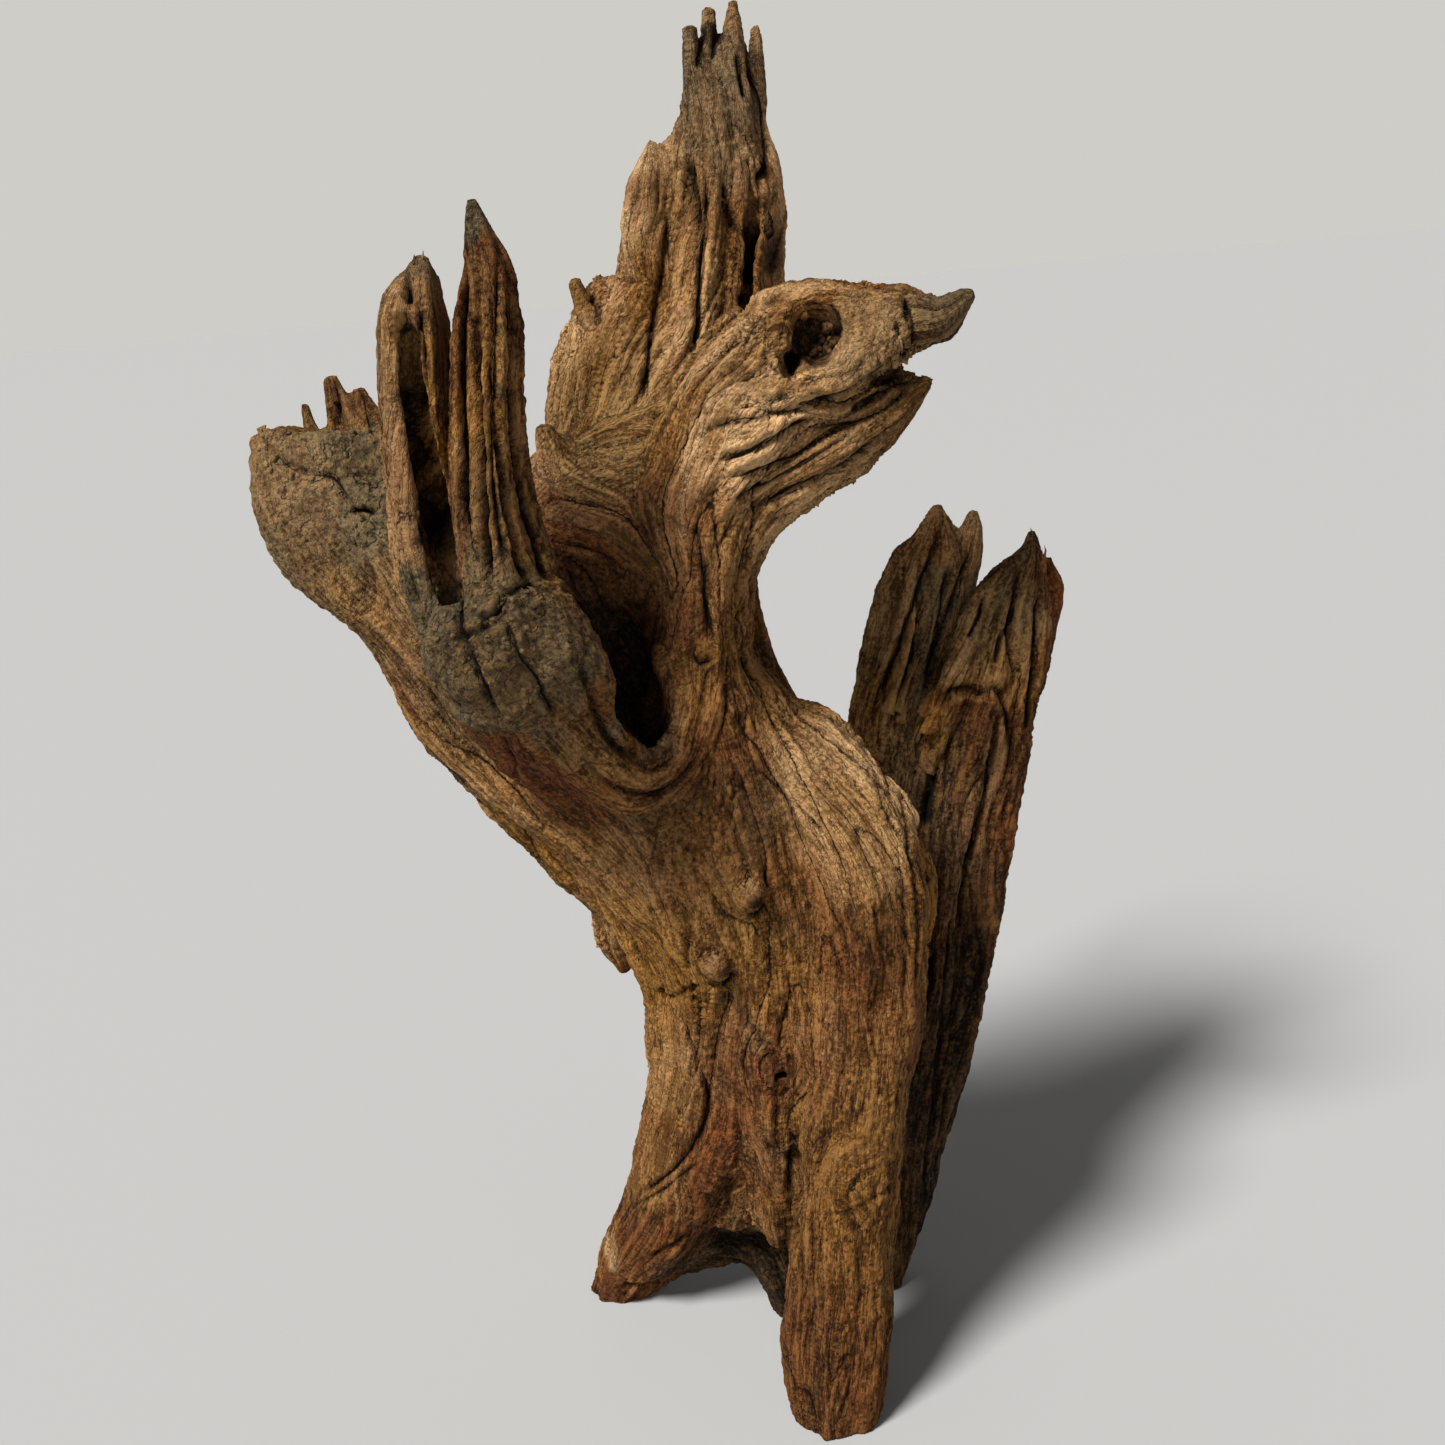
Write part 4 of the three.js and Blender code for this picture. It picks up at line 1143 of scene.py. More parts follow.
# %% Stains: pixel, radius in millimetres, then the tones there
STAINS = {
    "burl face": (525, 655, 24, {"grey": 0.95, "char": 0.35, "ochre": 0, "russet": 0}),
    "burl face left": (455, 665, 20, {"grey": 0.95, "char": 0.35, "ochre": 0, "russet": 0}),
    "burl face low": (510, 700, 16, {"grey": 0.9, "char": 0.2, "ochre": 0, "russet": 0.1}),
    "burl corner": (430, 620, 14, {"grey": 0.9, "char": 0.2, "ochre": 0}),
    "red slope": (500, 762, 20, {"russet": 0.95, "grey": 0.0, "ochre": 0, "umber": 0.65}),
    "red slope right": (560, 790, 20, {"russet": 0.85, "grey": 0.0, "ochre": 0, "umber": 0.65}),
    "branch face": (330, 490, 32, {"grey": 0.85, "ochre": 0.2, "tan": 0.15, "umber": 0.1}),
    "branch face left": (275, 470, 22, {"grey": 0.62, "ochre": 0.3, "tan": 0.5}),
    "pocket top": (622, 560, 30, {"russet": 0.9, "char": 0.35, "ochre": 0.1}),
    # Painted shade: the deep pocket is painted near black.
    "pocket": (620, 642, 25, {"char": 0.9, "grey": 0.2}),
    "pocket low": (632, 715, 20, {"char": 0.95, "grey": 0.2}),
    "pocket right": (664, 655, 12, {"char": 0.25, "umber": 0.8, "grey": 0.15}),
    "pocket right low": (664, 705, 9, {"char": 0.2, "umber": 0.8, "grey": 0.1}),
    "saddle red": (640, 540, 22, {"russet": 0.5, "umber": 0.1, "tan": 0.4, "char": 0.0}),
    "saddle olive": (610, 455, 18, {"grey": 0.35, "ochre": 0.7, "russet": 0.0}),
    # Painted shade: the eye hole and its rim are painted near black, and the rubble in it keeps a grey brown.
    "eye": (812, 336, 11, {"char": 1.0, "umber": 0.9, "tan": 0, "ochre": 0}),
    "eye rubble": (821, 332, 4, {"char": 0.7, "umber": 0.5, "grey": 0.6, "tan": 0, "ochre": 0}),
    "eye pit": (792, 360, 7, {"char": 1.0}),
    "eye back": (800, 325, 6, {"char": 0.95}),
    "eye rim right": (835, 338, 3.5, {"char": 0.8, "umber": 0.8, "tan": 0}),
    "eye rim low": (824, 360, 3, {"char": 0.6, "umber": 0.6, "tan": 0}),
    "eye rim top": (815, 302, 3, {"char": 0.7, "tan": 0}),
    # Painted shade inside the jaw slit.
    "jaw inside": (890, 381, 5, {"char": 0.9, "umber": 0.8, "tan": 0}),
    "pocket wall": (603, 700, 9, {"umber": 0.75, "russet": 0.3, "grey": 0.05, "char": 0.25}),
    "pocket wall low": (628, 745, 7, {"umber": 0.75, "russet": 0.3, "grey": 0.05, "char": 0.2}),
    "dish": (868, 325, 13, {"grey": 0.4, "ochre": 0.3, "tan": 0.75}),
    "dish low": (852, 356, 9, {"grey": 0.4}),
    "beak": (945, 303, 14, {"grey": 0.55, "tan": 0.25}),
    # Painted shade inside the jaw slit.
    "jaw dark": (890, 388, 5, {"char": 0.8}),
    "tall crown": (712, 80, 20, {"grey": 0.6, "umber": 0.6, "ochre": 0.1}),
    "tall crown low": (715, 135, 14, {"grey": 0.5, "umber": 0.35, "ochre": 0.2}),
    "tall red": (742, 120, 9, {"russet": 0.45, "tan": 0.3}),
    "tall red low": (735, 215, 12, {"russet": 0.4, "umber": 0.25}),
    "tall purple": (640, 190, 7, {"russet": 0.35, "umber": 0.35}),
    # Painted shade in the gap between the crown's prongs.
    "crown gap": (715, 36, 4, {"char": 0.9}),
    "shards": (340, 405, 9, {"grey": 0.45, "russet": 0.3, "umber": 0.3, "ochre": 0.1}),
    "shard right": (368, 408, 8, {"grey": 0.2, "russet": 0.35, "tan": 0.3}),
    "shard left": (307, 418, 6, {"umber": 0.7, "grey": 0.5}),
    "tall base": (618, 405, 24, {"grey": 0.35, "ochre": 0.8}),
    # Painted shade along the tall groove.
    "tall groove": (752, 245, 8, {"char": 0.9}),
    "tall groove middle": (755, 208, 3.4, {"char": 0.85, "umber": 0.6, "tan": 0}),
    "tall groove top": (761, 172, 3, {"char": 0.7, "umber": 0.7, "tan": 0}),
    "peg": (572, 290, 8, {"ochre": 0.8, "grey": 0.4}),
    "left side ochre": (640, 930, 20, {"ochre": 0.85, "russet": 0.1}),
    "shelf ochre": (680, 1010, 18, {"ochre": 0.7, "russet": 0.3}),
    "flake": (600, 940, 11, {"ochre": 0.5, "tan": 0.9, "russet": 0, "umber": 0}),
    "flake low": (612, 965, 6, {"grey": 0.7, "tan": 0.2}),
    "flank": (670, 1090, 22, {"ochre": 0.5, "russet": 0.3}),
    "red heart": (735, 1070, 22, {"russet": 0.55, "ochre": 0.1}),
    "red hollow": (745, 1150, 24, {"russet": 0.55, "ochre": 0.1}),
    "green streak": (727, 1000, 4, {"grey": 0.32}),
    "green streak middle": (741, 1020, 4, {"grey": 0.32}),
    "green streak low": (757, 1040, 5, {"grey": 0.32}),
    # Painted shade in the knot hole.
    "knot hole": (780, 1073, 3.5, {"char": 0.8}),
    "hollow green": (775, 1165, 14, {"grey": 0.4}),
    # Partly painted light: the shoulder is made lighter, as lit from above, over its own tan.
    "shoulder": (862, 775, 28, {"tan": 1.0, "ochre": 0.2, "russet": 0.05, "umber": 0}),
    "shoulder side": (850, 850, 22, {"tan": 0.55, "ochre": 0.35, "umber": 0.05}),
    # Painted highlight on the pocket's lower lip.
    "lip painted highlight": (664, 748, 4, {"tan": 0.9, "umber": 0, "char": 0}),
    "lip painted highlight right": (676, 722, 3.5, {"tan": 0.6, "umber": 0, "char": 0}),
    "trunk left": (655, 1060, 24, {"tan": 0.65, "ochre": 0.5, "umber": 0.0, "russet": 0.15}),
    "trunk low left": (640, 1160, 20, {"tan": 0.45, "ochre": 0.5, "umber": 0.0}),
    "beak top": (880, 283, 8, {"russet": 0.45, "tan": 0.4}),
    "neck light": (720, 560, 12, {"tan": 0.35, "ochre": 0.35, "umber": 0.15}),
    "upper knob": (754, 897, 4.5, {"russet": 0.4, "grey": 0.3, "tan": 0.3}),
    # Painted light on the upper knob: a highlight on its upper left and painted shade on its lower right.
    "upper knob painted highlight": (749, 889, 2.6, {"tan": 1.0, "grey": 0.2, "umber": 0}),
    "upper knob painted shade": (758, 906, 3, {"char": 0.6, "umber": 0.9, "tan": 0}),
    "lower knob": (717, 967, 4.5, {"russet": 0.4, "grey": 0.3, "tan": 0.3}),
    # Painted light on the lower knob: a highlight on its upper left and painted shade on its lower right.
    "lower knob painted highlight": (713, 960, 2.6, {"tan": 0.6, "grey": 0.3, "umber": 0.1}),
    "lower knob painted shade": (722, 978, 3.4, {"char": 0.7, "umber": 0.9, "tan": 0}),
    # Painted shade on the lower rear slab, over its own dark brown.
    "rear painted shade low": (955, 980, 22, {"char": 0.75, "umber": 0.6}),
    "rear painted shade lower": (938, 1090, 22, {"char": 0.8, "umber": 0.6}),
    "rear painted shade lowest": (925, 1200, 20, {"char": 0.8, "umber": 0.6}),
    "rear painted shade high": (962, 890, 18, {"char": 0.5, "umber": 0.7}),
    "scales": (712, 815, 20, {"char": 0.55, "ochre": 0.25}),
    "scales low": (690, 850, 18, {"char": 0.2, "russet": 0.35}),
    "foot tip": (612, 1252, 8, {"tan": 0.95, "russet": 0}),
    "foot end": (605, 1285, 7, {"russet": 0.9, "char": 0.3}),
    "foot dark": (680, 1262, 10, {"grey": 0.5, "char": 0.3}),
    "arch": (738, 1228, 12, {"char": 0.95}),
    "arch right": (768, 1262, 12, {"char": 0.9}),
    # Partly painted shade: the low leg and its foot are made darker, away from the light above, over their own
    # brown.
    "leg low": (850, 1250, 40, {"umber": 0.6, "tan": 0.1, "ochre": 0.32, "russet": 0.16}),
    "leg foot": (830, 1380, 30, {"russet": 0.35, "umber": 1.0, "tan": 0.0, "ochre": 0.15}),
    "arch edge": (768, 1240, 9, {"ochre": 0.45, "tan": 0.2}),
    # Painted shade in the gap between the slabs.
    "slab gap": (926, 800, 8, {"char": 0.95}),
    "slab ochre": (936, 720, 8, {"ochre": 0.95, "char": 0, "grey": 0.1}),
    "slab ochre low": (930, 755, 6, {"ochre": 0.8, "char": 0}),
    "back slab chip": (890, 690, 7, {"ochre": 0.6, "tan": 0.3}),
    "back slab green": (934, 590, 10, {"grey": 0.85, "umber": 0.1, "char": 0}),
    "back slab green low": (924, 645, 9, {"grey": 0.85, "umber": 0.1, "char": 0}),
    "back blade top": (914, 622, 3.2, {"ochre": 0.6, "tan": 0.7, "umber": 0, "grey": 0.1}),
    "back blade": (903, 655, 3.6, {"ochre": 0.6, "tan": 0.8, "umber": 0, "grey": 0.1}),
    "back blade low": (895, 685, 3.6, {"ochre": 0.6, "tan": 0.6, "umber": 0, "grey": 0.1}),
    # Painted highlight on the rear slab's top.
    "slab painted highlight": (946, 724, 3.6, {"tan": 0.9, "russet": 0.2, "umber": 0, "char": 0}),
    "red spikes": (1050, 590, 12, {"russet": 1.0, "grey": 0.1}),
    "slab top": (975, 635, 17, {"ochre": 0.4, "grey": 0.35, "tan": 0.6, "umber": 0, "russet": 0.1, "char": 0}),
    "slab top right": (1020, 620, 14, {"ochre": 0.4, "grey": 0.45, "tan": 0.35, "umber": 0.1, "russet": 0.1, "char": 0}),
    "slab top low": (1020, 670, 12, {"ochre": 0.5, "grey": 0.2, "umber": 0.15, "russet": 0.15, "char": 0}),
    "spire edge": (390, 410, 3.5, {"tan": 0.6}),
    "spire edge low": (398, 450, 3, {"tan": 0.6}),
    # Painted shade inside the left spire's channel.
    "spire channel": (408, 400, 4, {"char": 0.9}),
    "spire channel low": (430, 530, 7, {"char": 0.9}),
    "spire wall top": (424, 345, 3, {"ochre": 1.0, "tan": 0.6, "char": 0, "umber": 0}),
    "spire wall": (425, 390, 4.5, {"ochre": 1.0, "tan": 0.6, "char": 0, "umber": 0}),
    "spire wall low": (433, 450, 5.5, {"ochre": 1.0, "tan": 0.4, "char": 0, "umber": 0.1}),
    "left spire light": (396, 330, 7, {"tan": 0.3, "umber": 0.1}),
    "left spire side": (404, 500, 8, {"umber": 0.5, "russet": 0.25}),
    "red sliver": (458, 300, 4, {"russet": 1.0, "tan": 0.2}),
    "spire pale": (456, 450, 2.5, {"tan": 0.7}),
    # Painted shade along the right spire's grooves.
    "right spire groove": (503, 330, 2.2, {"char": 0.8}),
    "right spire groove low": (502, 390, 2.2, {"char": 0.8}),
    "right spire groove lower": (499, 450, 2.2, {"char": 0.8}),
    "right spire groove lowest": (503, 510, 2.4, {"char": 0.75}),
    "right spire ridge": (482, 330, 2.6, {"ochre": 0.5, "tan": 0.4, "umber": 0.1, "char": 0}),
    "right spire ridge low": (486, 470, 2.6, {"ochre": 0.5, "tan": 0.4, "umber": 0.1, "char": 0}),
    "right spire ridge lower": (492, 540, 3, {"ochre": 0.5, "tan": 0.3, "umber": 0.2, "char": 0}),
    "right spire rib": (514, 340, 2, {"tan": 0.5, "umber": 0.2, "char": 0}),
    "spire tip": (470, 215, 6, {"grey": 0.8, "char": 0.3}),
    "left tip": (425, 262, 6, {"grey": 0.6, "char": 0.3}),
}


STAIN_BREAK = 0.15


def mix_tones():
    patches = np.stack([noise_at(SKIN, 34, 31 + k) for k in range(len(TONES))], 1)
    streaks = np.stack([SPLITS, BROAD, -BROAD, MIDDLE_GRAIN, -SPLITS, COARSE_GRAIN], 1)
    streaks *= 1 - CALM[:, None]
    tones = WEIGHTS @ np.array([NODE_TONES[node] for node in NODES], np.float32)
    tones *= np.clip(1 + 0.45 * patches + 0.45 * streaks, 0, 2.2)
    broken = 1 + STAIN_BREAK * (patches + streaks)
    for name, (x, y, radius, shares) in STAINS.items():
        rows, soft = soft_spot(x, y, radius, SKIN, WOBBLE)
        if not len(rows):
            print("no skin under the stain", name)
        for tone, share in shares.items():
            column = TONES.index(tone)
            tones[rows, column] += (share * broken[rows, column] - tones[rows, column]) * soft
    return np.clip(tones, 0, 1)


TONE = mix_tones()
note("tones", dict(zip(TONES, np.round(TONE.mean(0), 2).tolist())))

# %% [markdown]
# ## Splitting at the forks
#
# A quad goes to the branch with the most weight at its corners. Small islands that this leaves are
# given to what surrounds them. Each piece is then closed inside the wood, so it is a solid shell,
# and it keeps the whole wood's normals, so no seam shows where two pieces meet.

# %% Sort the quads
SMALL_ISLAND = 300


def edge_pairs():
    """Pairs of quads that share an edge."""
    ends = np.stack([QUADS, np.roll(QUADS, -1, axis=1)], 2).reshape(-1, 2)
    key = ends.min(1).astype(np.int64) * len(SKIN) + ends.max(1)
    order = np.argsort(key, kind="stable")
    same = np.flatnonzero(np.diff(key[order]) == 0)
    return order[same] // 4, order[same + 1] // 4


def joined_sets(count, first, second):
    """A number for each item, the same for all that the pairs join."""
    group = np.arange(count)
    while True:
        before = group.copy()
        low = np.minimum(group[first], group[second])
        np.minimum.at(group, group[first], low)
        np.minimum.at(group, group[second], low)
        group = group[group]
        if (group == before).all():
            return group


def sort_quads():
    soft = np.stack([neighbour_mean(WEIGHTS[:, i], 3) for i in range(len(NODES))], 1)
    owner = soft[QUADS].sum(1).argmax(1)
    first, second = edge_pairs()
    together = owner[first] == owner[second]
    group = joined_sets(len(owner), first[together], second[together])
    small = np.bincount(group, minlength=len(owner))[group] < SMALL_ISLAND
    owner[small] = -1
    while (owner < 0).any():
        before = owner.copy()
        take = (owner[first] < 0) & (owner[second] >= 0)
        owner[first[take]] = owner[second[take]]
        give = (owner[second] < 0) & (owner[first] >= 0)
        owner[second[give]] = owner[first[give]]
        if (owner == before).all():
            break
    return owner


OWNER = sort_quads()
COUNTS = np.bincount(OWNER[OWNER >= 0], minlength=len(NODES))
note("quads of each branch", dict(zip(NODES, COUNTS.tolist())))
print("loose crumbs left out:", int((OWNER < 0).sum()), "quads")


# %% Close a piece
STRANGE_COST = 15.0
STEEP_ENOUGH = 0.35
SUNK = 3.5
DEEP_ENOUGH = 0.5
WELL_INSIDE = 2.5
WALL_PROBE = 3.0
WOOD_TREE = BVHTree.FromPolygons(WOOD.tolist(), QUADS.tolist())
note("tree of the carved skin")


def open_edges(quads):
    """Edges that only one quad has, as the quad walks them."""
    start, end = quads.ravel(), np.roll(quads, -1, axis=1).ravel()
    forward = start.astype(np.int64) * len(SKIN) + end
    backward = end.astype(np.int64) * len(SKIN) + start
    alone = ~np.isin(forward, backward)
    return start[alone], end[alone]


def grazes(border, normals, anchors):
    """Whether the way from each border vertex to each anchor runs nearly along the skin."""
    away = anchors[None] - border
    inward = -(away * normals[:, None]).sum(2) / np.maximum(np.linalg.norm(away, axis=2), 1e-6)
    return inward < STEEP_ENOUGH


INWARD = smooth_normals(4)


def stays_inside(first, second):
    """Whether the straight way from each first to each second point runs through wood."""
    inside = True
    for part in (0.15, 0.35, 0.6, 0.85):
        place = np.rint((first + (second - first) * part - GRID_LOW) / GRID_STEP).astype(int)
        place = np.clip(place, 0, np.array(FIELD.shape) - 1)
        inside = inside & (FIELD[place[..., 0], place[..., 1], place[..., 2]] < -WELL_INSIDE)
    return inside


def depth_in_wood(place):
    """How deep a place is under the carved skin, in millimetres, and the way out."""
    hit, normal, _, _ = WOOD_TREE.find_nearest(Vector(place))
    return (hit - Vector(place)).dot(normal), np.array(normal)


def probes(parts):
    """Shares of the three corners at places spread over a triangle."""
    steps = [(i + 0.25, j + 0.25) for i in range(parts) for j in range(parts - i)]
    return [(i / parts, j / parts, 1 - (i + j) / parts) for i, j in steps]


def outside(corners):
    """Whether a triangle comes near the carved skin anywhere."""
    sides = np.linalg.norm(corners - np.roll(corners, 1, axis=1), axis=2).max(1)
    parts = np.clip(np.ceil(sides / WALL_PROBE), 3, 30).astype(int)
    spread = {number: np.array(probes(number)) for number in set(parts.tolist())}
    return np.array([
        any(depth_in_wood(place)[0] < DEEP_ENOUGH for place in spread[number] @ corner)
        for number, corner in zip(parts.tolist(), corners)
    ])


def settle(place):
    """Moves a place away from the nearest skin until it is well inside the wood, or as far as it can."""
    for _ in range(8):
        depth, way_out = depth_in_wood(place)
        if depth > WELL_INSIDE:
            break
        place = place - way_out * (WELL_INSIDE - depth) * 0.7
    return place


def limb_anchors():
    """Places on the middle lines of all limbs, inside the wood, and the node that each belongs to."""
    solid = [limb for limb in LIMBS if limb.solid]
    places = np.array([settle(place) for limb in solid for place in limb.centre])
    return places, np.array([limb.node for limb in solid for _ in limb.centre])


ANCHORS, ANCHOR_NODES = limb_anchors()
note(len(ANCHORS), "anchors inside the wood")


def inner_walls(quads, node):
    """Triangles that close a piece through the wood, and their inner points, which follow the skin's
    vertices. A wall first goes straight down from the skin, and then on to the middle of a limb."""
    start, end = open_edges(quads)
    names, rank = np.unique(np.r_[start, end], return_inverse=True)
    step = np.minimum(SUNK, GIRTH[names] * 0.4)[:, None]
    sunk = WOOD[names] - step * INWARD[names]
    cost = np.where(ANCHOR_NODES == node, 0, STRANGE_COST)
    border = sunk[:, None]
    far = np.linalg.norm(border - ANCHORS[None], axis=2) + cost
    far += 1000 * ~stays_inside(border, ANCHORS[None])
    far += 300 * grazes(border, SKIN_NORMALS[names], ANCHORS)
    inner = np.vstack([sunk, ANCHORS])
    choice = far.argmin(1) + len(SKIN) + len(names)
    first, second = rank[:len(start)], rank[len(start):]
    low_start, low_end = first + len(SKIN), second + len(SKIN)
    tail, head = choice[first], choice[second]
    turned = tail != head
    collar = [np.stack([end, start, low_start], 1), np.stack([end, low_start, low_end], 1)]
    walls = [np.stack([low_end, low_start, tail], 1), np.stack([low_end, tail, head], 1)[turned]]
    count = len(SKIN) + len(inner)
    pairs, times = np.unique(tail[turned].astype(np.int64) * count + head[turned], return_counts=True)
    there = dict(zip(pairs.tolist(), times.tolist()))
    loose = []
    for pair, number in there.items():
        a, b = divmod(pair, count)
        loose += [(a, b)] * max(0, number - there.get(b * count + a, 0))
    if loose:
        loose = np.array(loose)
        group = joined_sets(count, loose[:, 0], loose[:, 1])[loose[:, 0]]
        for ring in np.unique(group):
            part = loose[group == ring]
            walls.append(np.c_[part[:, 1], part[:, 0], np.full(len(part), len(SKIN) + len(inner))])
            inner = np.vstack([inner, inner[part[:, 0] - len(SKIN)].mean(0)])
    walls = np.vstack(walls)
    stray = outside(np.vstack([WOOD, inner])[walls])
    print(node, "walls", len(walls), "of which stray and left out", int(stray.sum()))
    return np.vstack(collar + [walls[~stray]]), inner.astype(np.float32)


# %% [markdown]
# ## The finish
#
# Shader maths reads best as maths. A wire holds a socket, and plus, minus and times on wires add the
# Math nodes. One method makes every other node.

# %% Wires
class Wire:
    """A socket of a shader that can stand in an expression."""

    def __init__(self, maker, socket):
        self.maker, self.socket = maker, socket

    def combine(self, operation, *values):
        return self.maker.node("ShaderNodeMath", {"operation": operation}, dict(enumerate(values)))

    def __add__(self, other):
        return self.combine("ADD", self, other)

    def __sub__(self, other):
        return self.combine("SUBTRACT", self, other)

    def __mul__(self, other):
        return self.combine("MULTIPLY", self, other)

    def __pow__(self, other):
        return self.combine("POWER", self, other)

    def __rsub__(self, other):
        return self.combine("SUBTRACT", other, self)

    def __neg__(self):
        return self * -1

    def __abs__(self):
        return self.combine("ABSOLUTE", self)

    def fraction(self):
        return self.combine("FRACT", self)

    __radd__ = __add__
    __rmul__ = __mul__

    def limit(self, low=0.0, high=1.0):
        return self.maker.node("ShaderNodeClamp", {}, {"Value": self, "Min": low, "Max": high})


class NodeMaker:
    """A node tree under construction."""

    def __init__(self, tree):
        self.tree, self.nodes, self.links = tree, tree.nodes, tree.links
        self.nodes.clear()

    def node(self, kind, settings, values, output=0):
        made = self.nodes.new(kind)
        for name, value in settings.items():
            if name == "stops":
                self.set_stops(made.color_ramp, value)
            else:
                setattr(made, name, value)
        for key, value in values.items():
            socket = self.find(made.inputs, key)
            if isinstance(value, Wire):
                self.links.new(value.socket, socket)
            else:
                socket.default_value = value
        return Wire(self, self.find(made.outputs, output)) if len(made.outputs) else made

    @staticmethod
    def find(sockets, key):
        if isinstance(key, int):
            return sockets[key]
        return next(s for s in sockets if key in (s.identifier, s.name))

    @staticmethod
    def set_stops(ramp, stops):
        while len(ramp.elements) < len(stops):
            ramp.elements.new(0.5)
        for element, (place, colour) in zip(ramp.elements, stops):
            element.position = place
            element.color = (*colour, 1)


class Shader(NodeMaker):
    """A material under construction."""

    def __init__(self, name):
        self.material = bpy.data.materials.new(name)
        self.material.use_nodes = True
        super().__init__(self.material.node_tree)

    def attribute(self, name, output="Fac"):
        return self.node("ShaderNodeAttribute", {"attribute_name": name}, {}, output)

    def mix(self, share, first, second):
        values = {"Factor_Float": share, "A_Color": first, "B_Color": second}
        return self.node("ShaderNodeMix", {"data_type": "RGBA"}, values, "Result_Color")

    def noise(self, place, scale, detail=3.0, rough=0.55):
        values = {"Vector": place, "Scale": scale, "Detail": detail, "Roughness": rough}
        return self.node("ShaderNodeTexNoise", {}, values, "Fac")


def paint(red, green, blue):
    """A colour as a screen shows it, from 0 to 255, made linear for the shader."""
    return tuple(((v / 255 + 0.055) / 1.055) ** 2.4 if v > 10 else v / 3295 for v in (red, green, blue))


# %% [markdown]
# The colour starts from tan and brown, which follow the combed noise only a little: on the real
# wood most of the drawing is shadow in fine relief. The tones lie over it, and every edge between
# them is broken by fine threads. Where a combed noise crosses nought there is a crack as thin as a
# hair, much thinner than the mesh could carry, because the crossing is found for every spot on the
# surface. Cracks, threads and crumbs are dark and sunk at the same place.

# %% Wood finish
DARK_WOOD = paint(70, 41, 16)
SOUND_WOOD = paint(126, 82, 38)
LIGHT_WOOD = paint(188, 139, 78)
TONE_COLOURS = {
    "tan": (paint(154, 113, 70), paint(238, 194, 142)),
    "umber": (paint(48, 28, 12), paint(110, 69, 33)),
    "ochre": (paint(110, 70, 24), paint(188, 136, 64)),
    "russet": (paint(74, 38, 17), paint(142, 82, 42)),
    "grey": (paint(46, 41, 30), paint(134, 117, 87)),
    "char": (paint(12, 9, 6), paint(42, 33, 23)),
}
# Near black for painted shade in carved valleys and grooves, and for the dark cracks, splits and pits.
SHADE_AND_DIRT = paint(20, 12, 6)


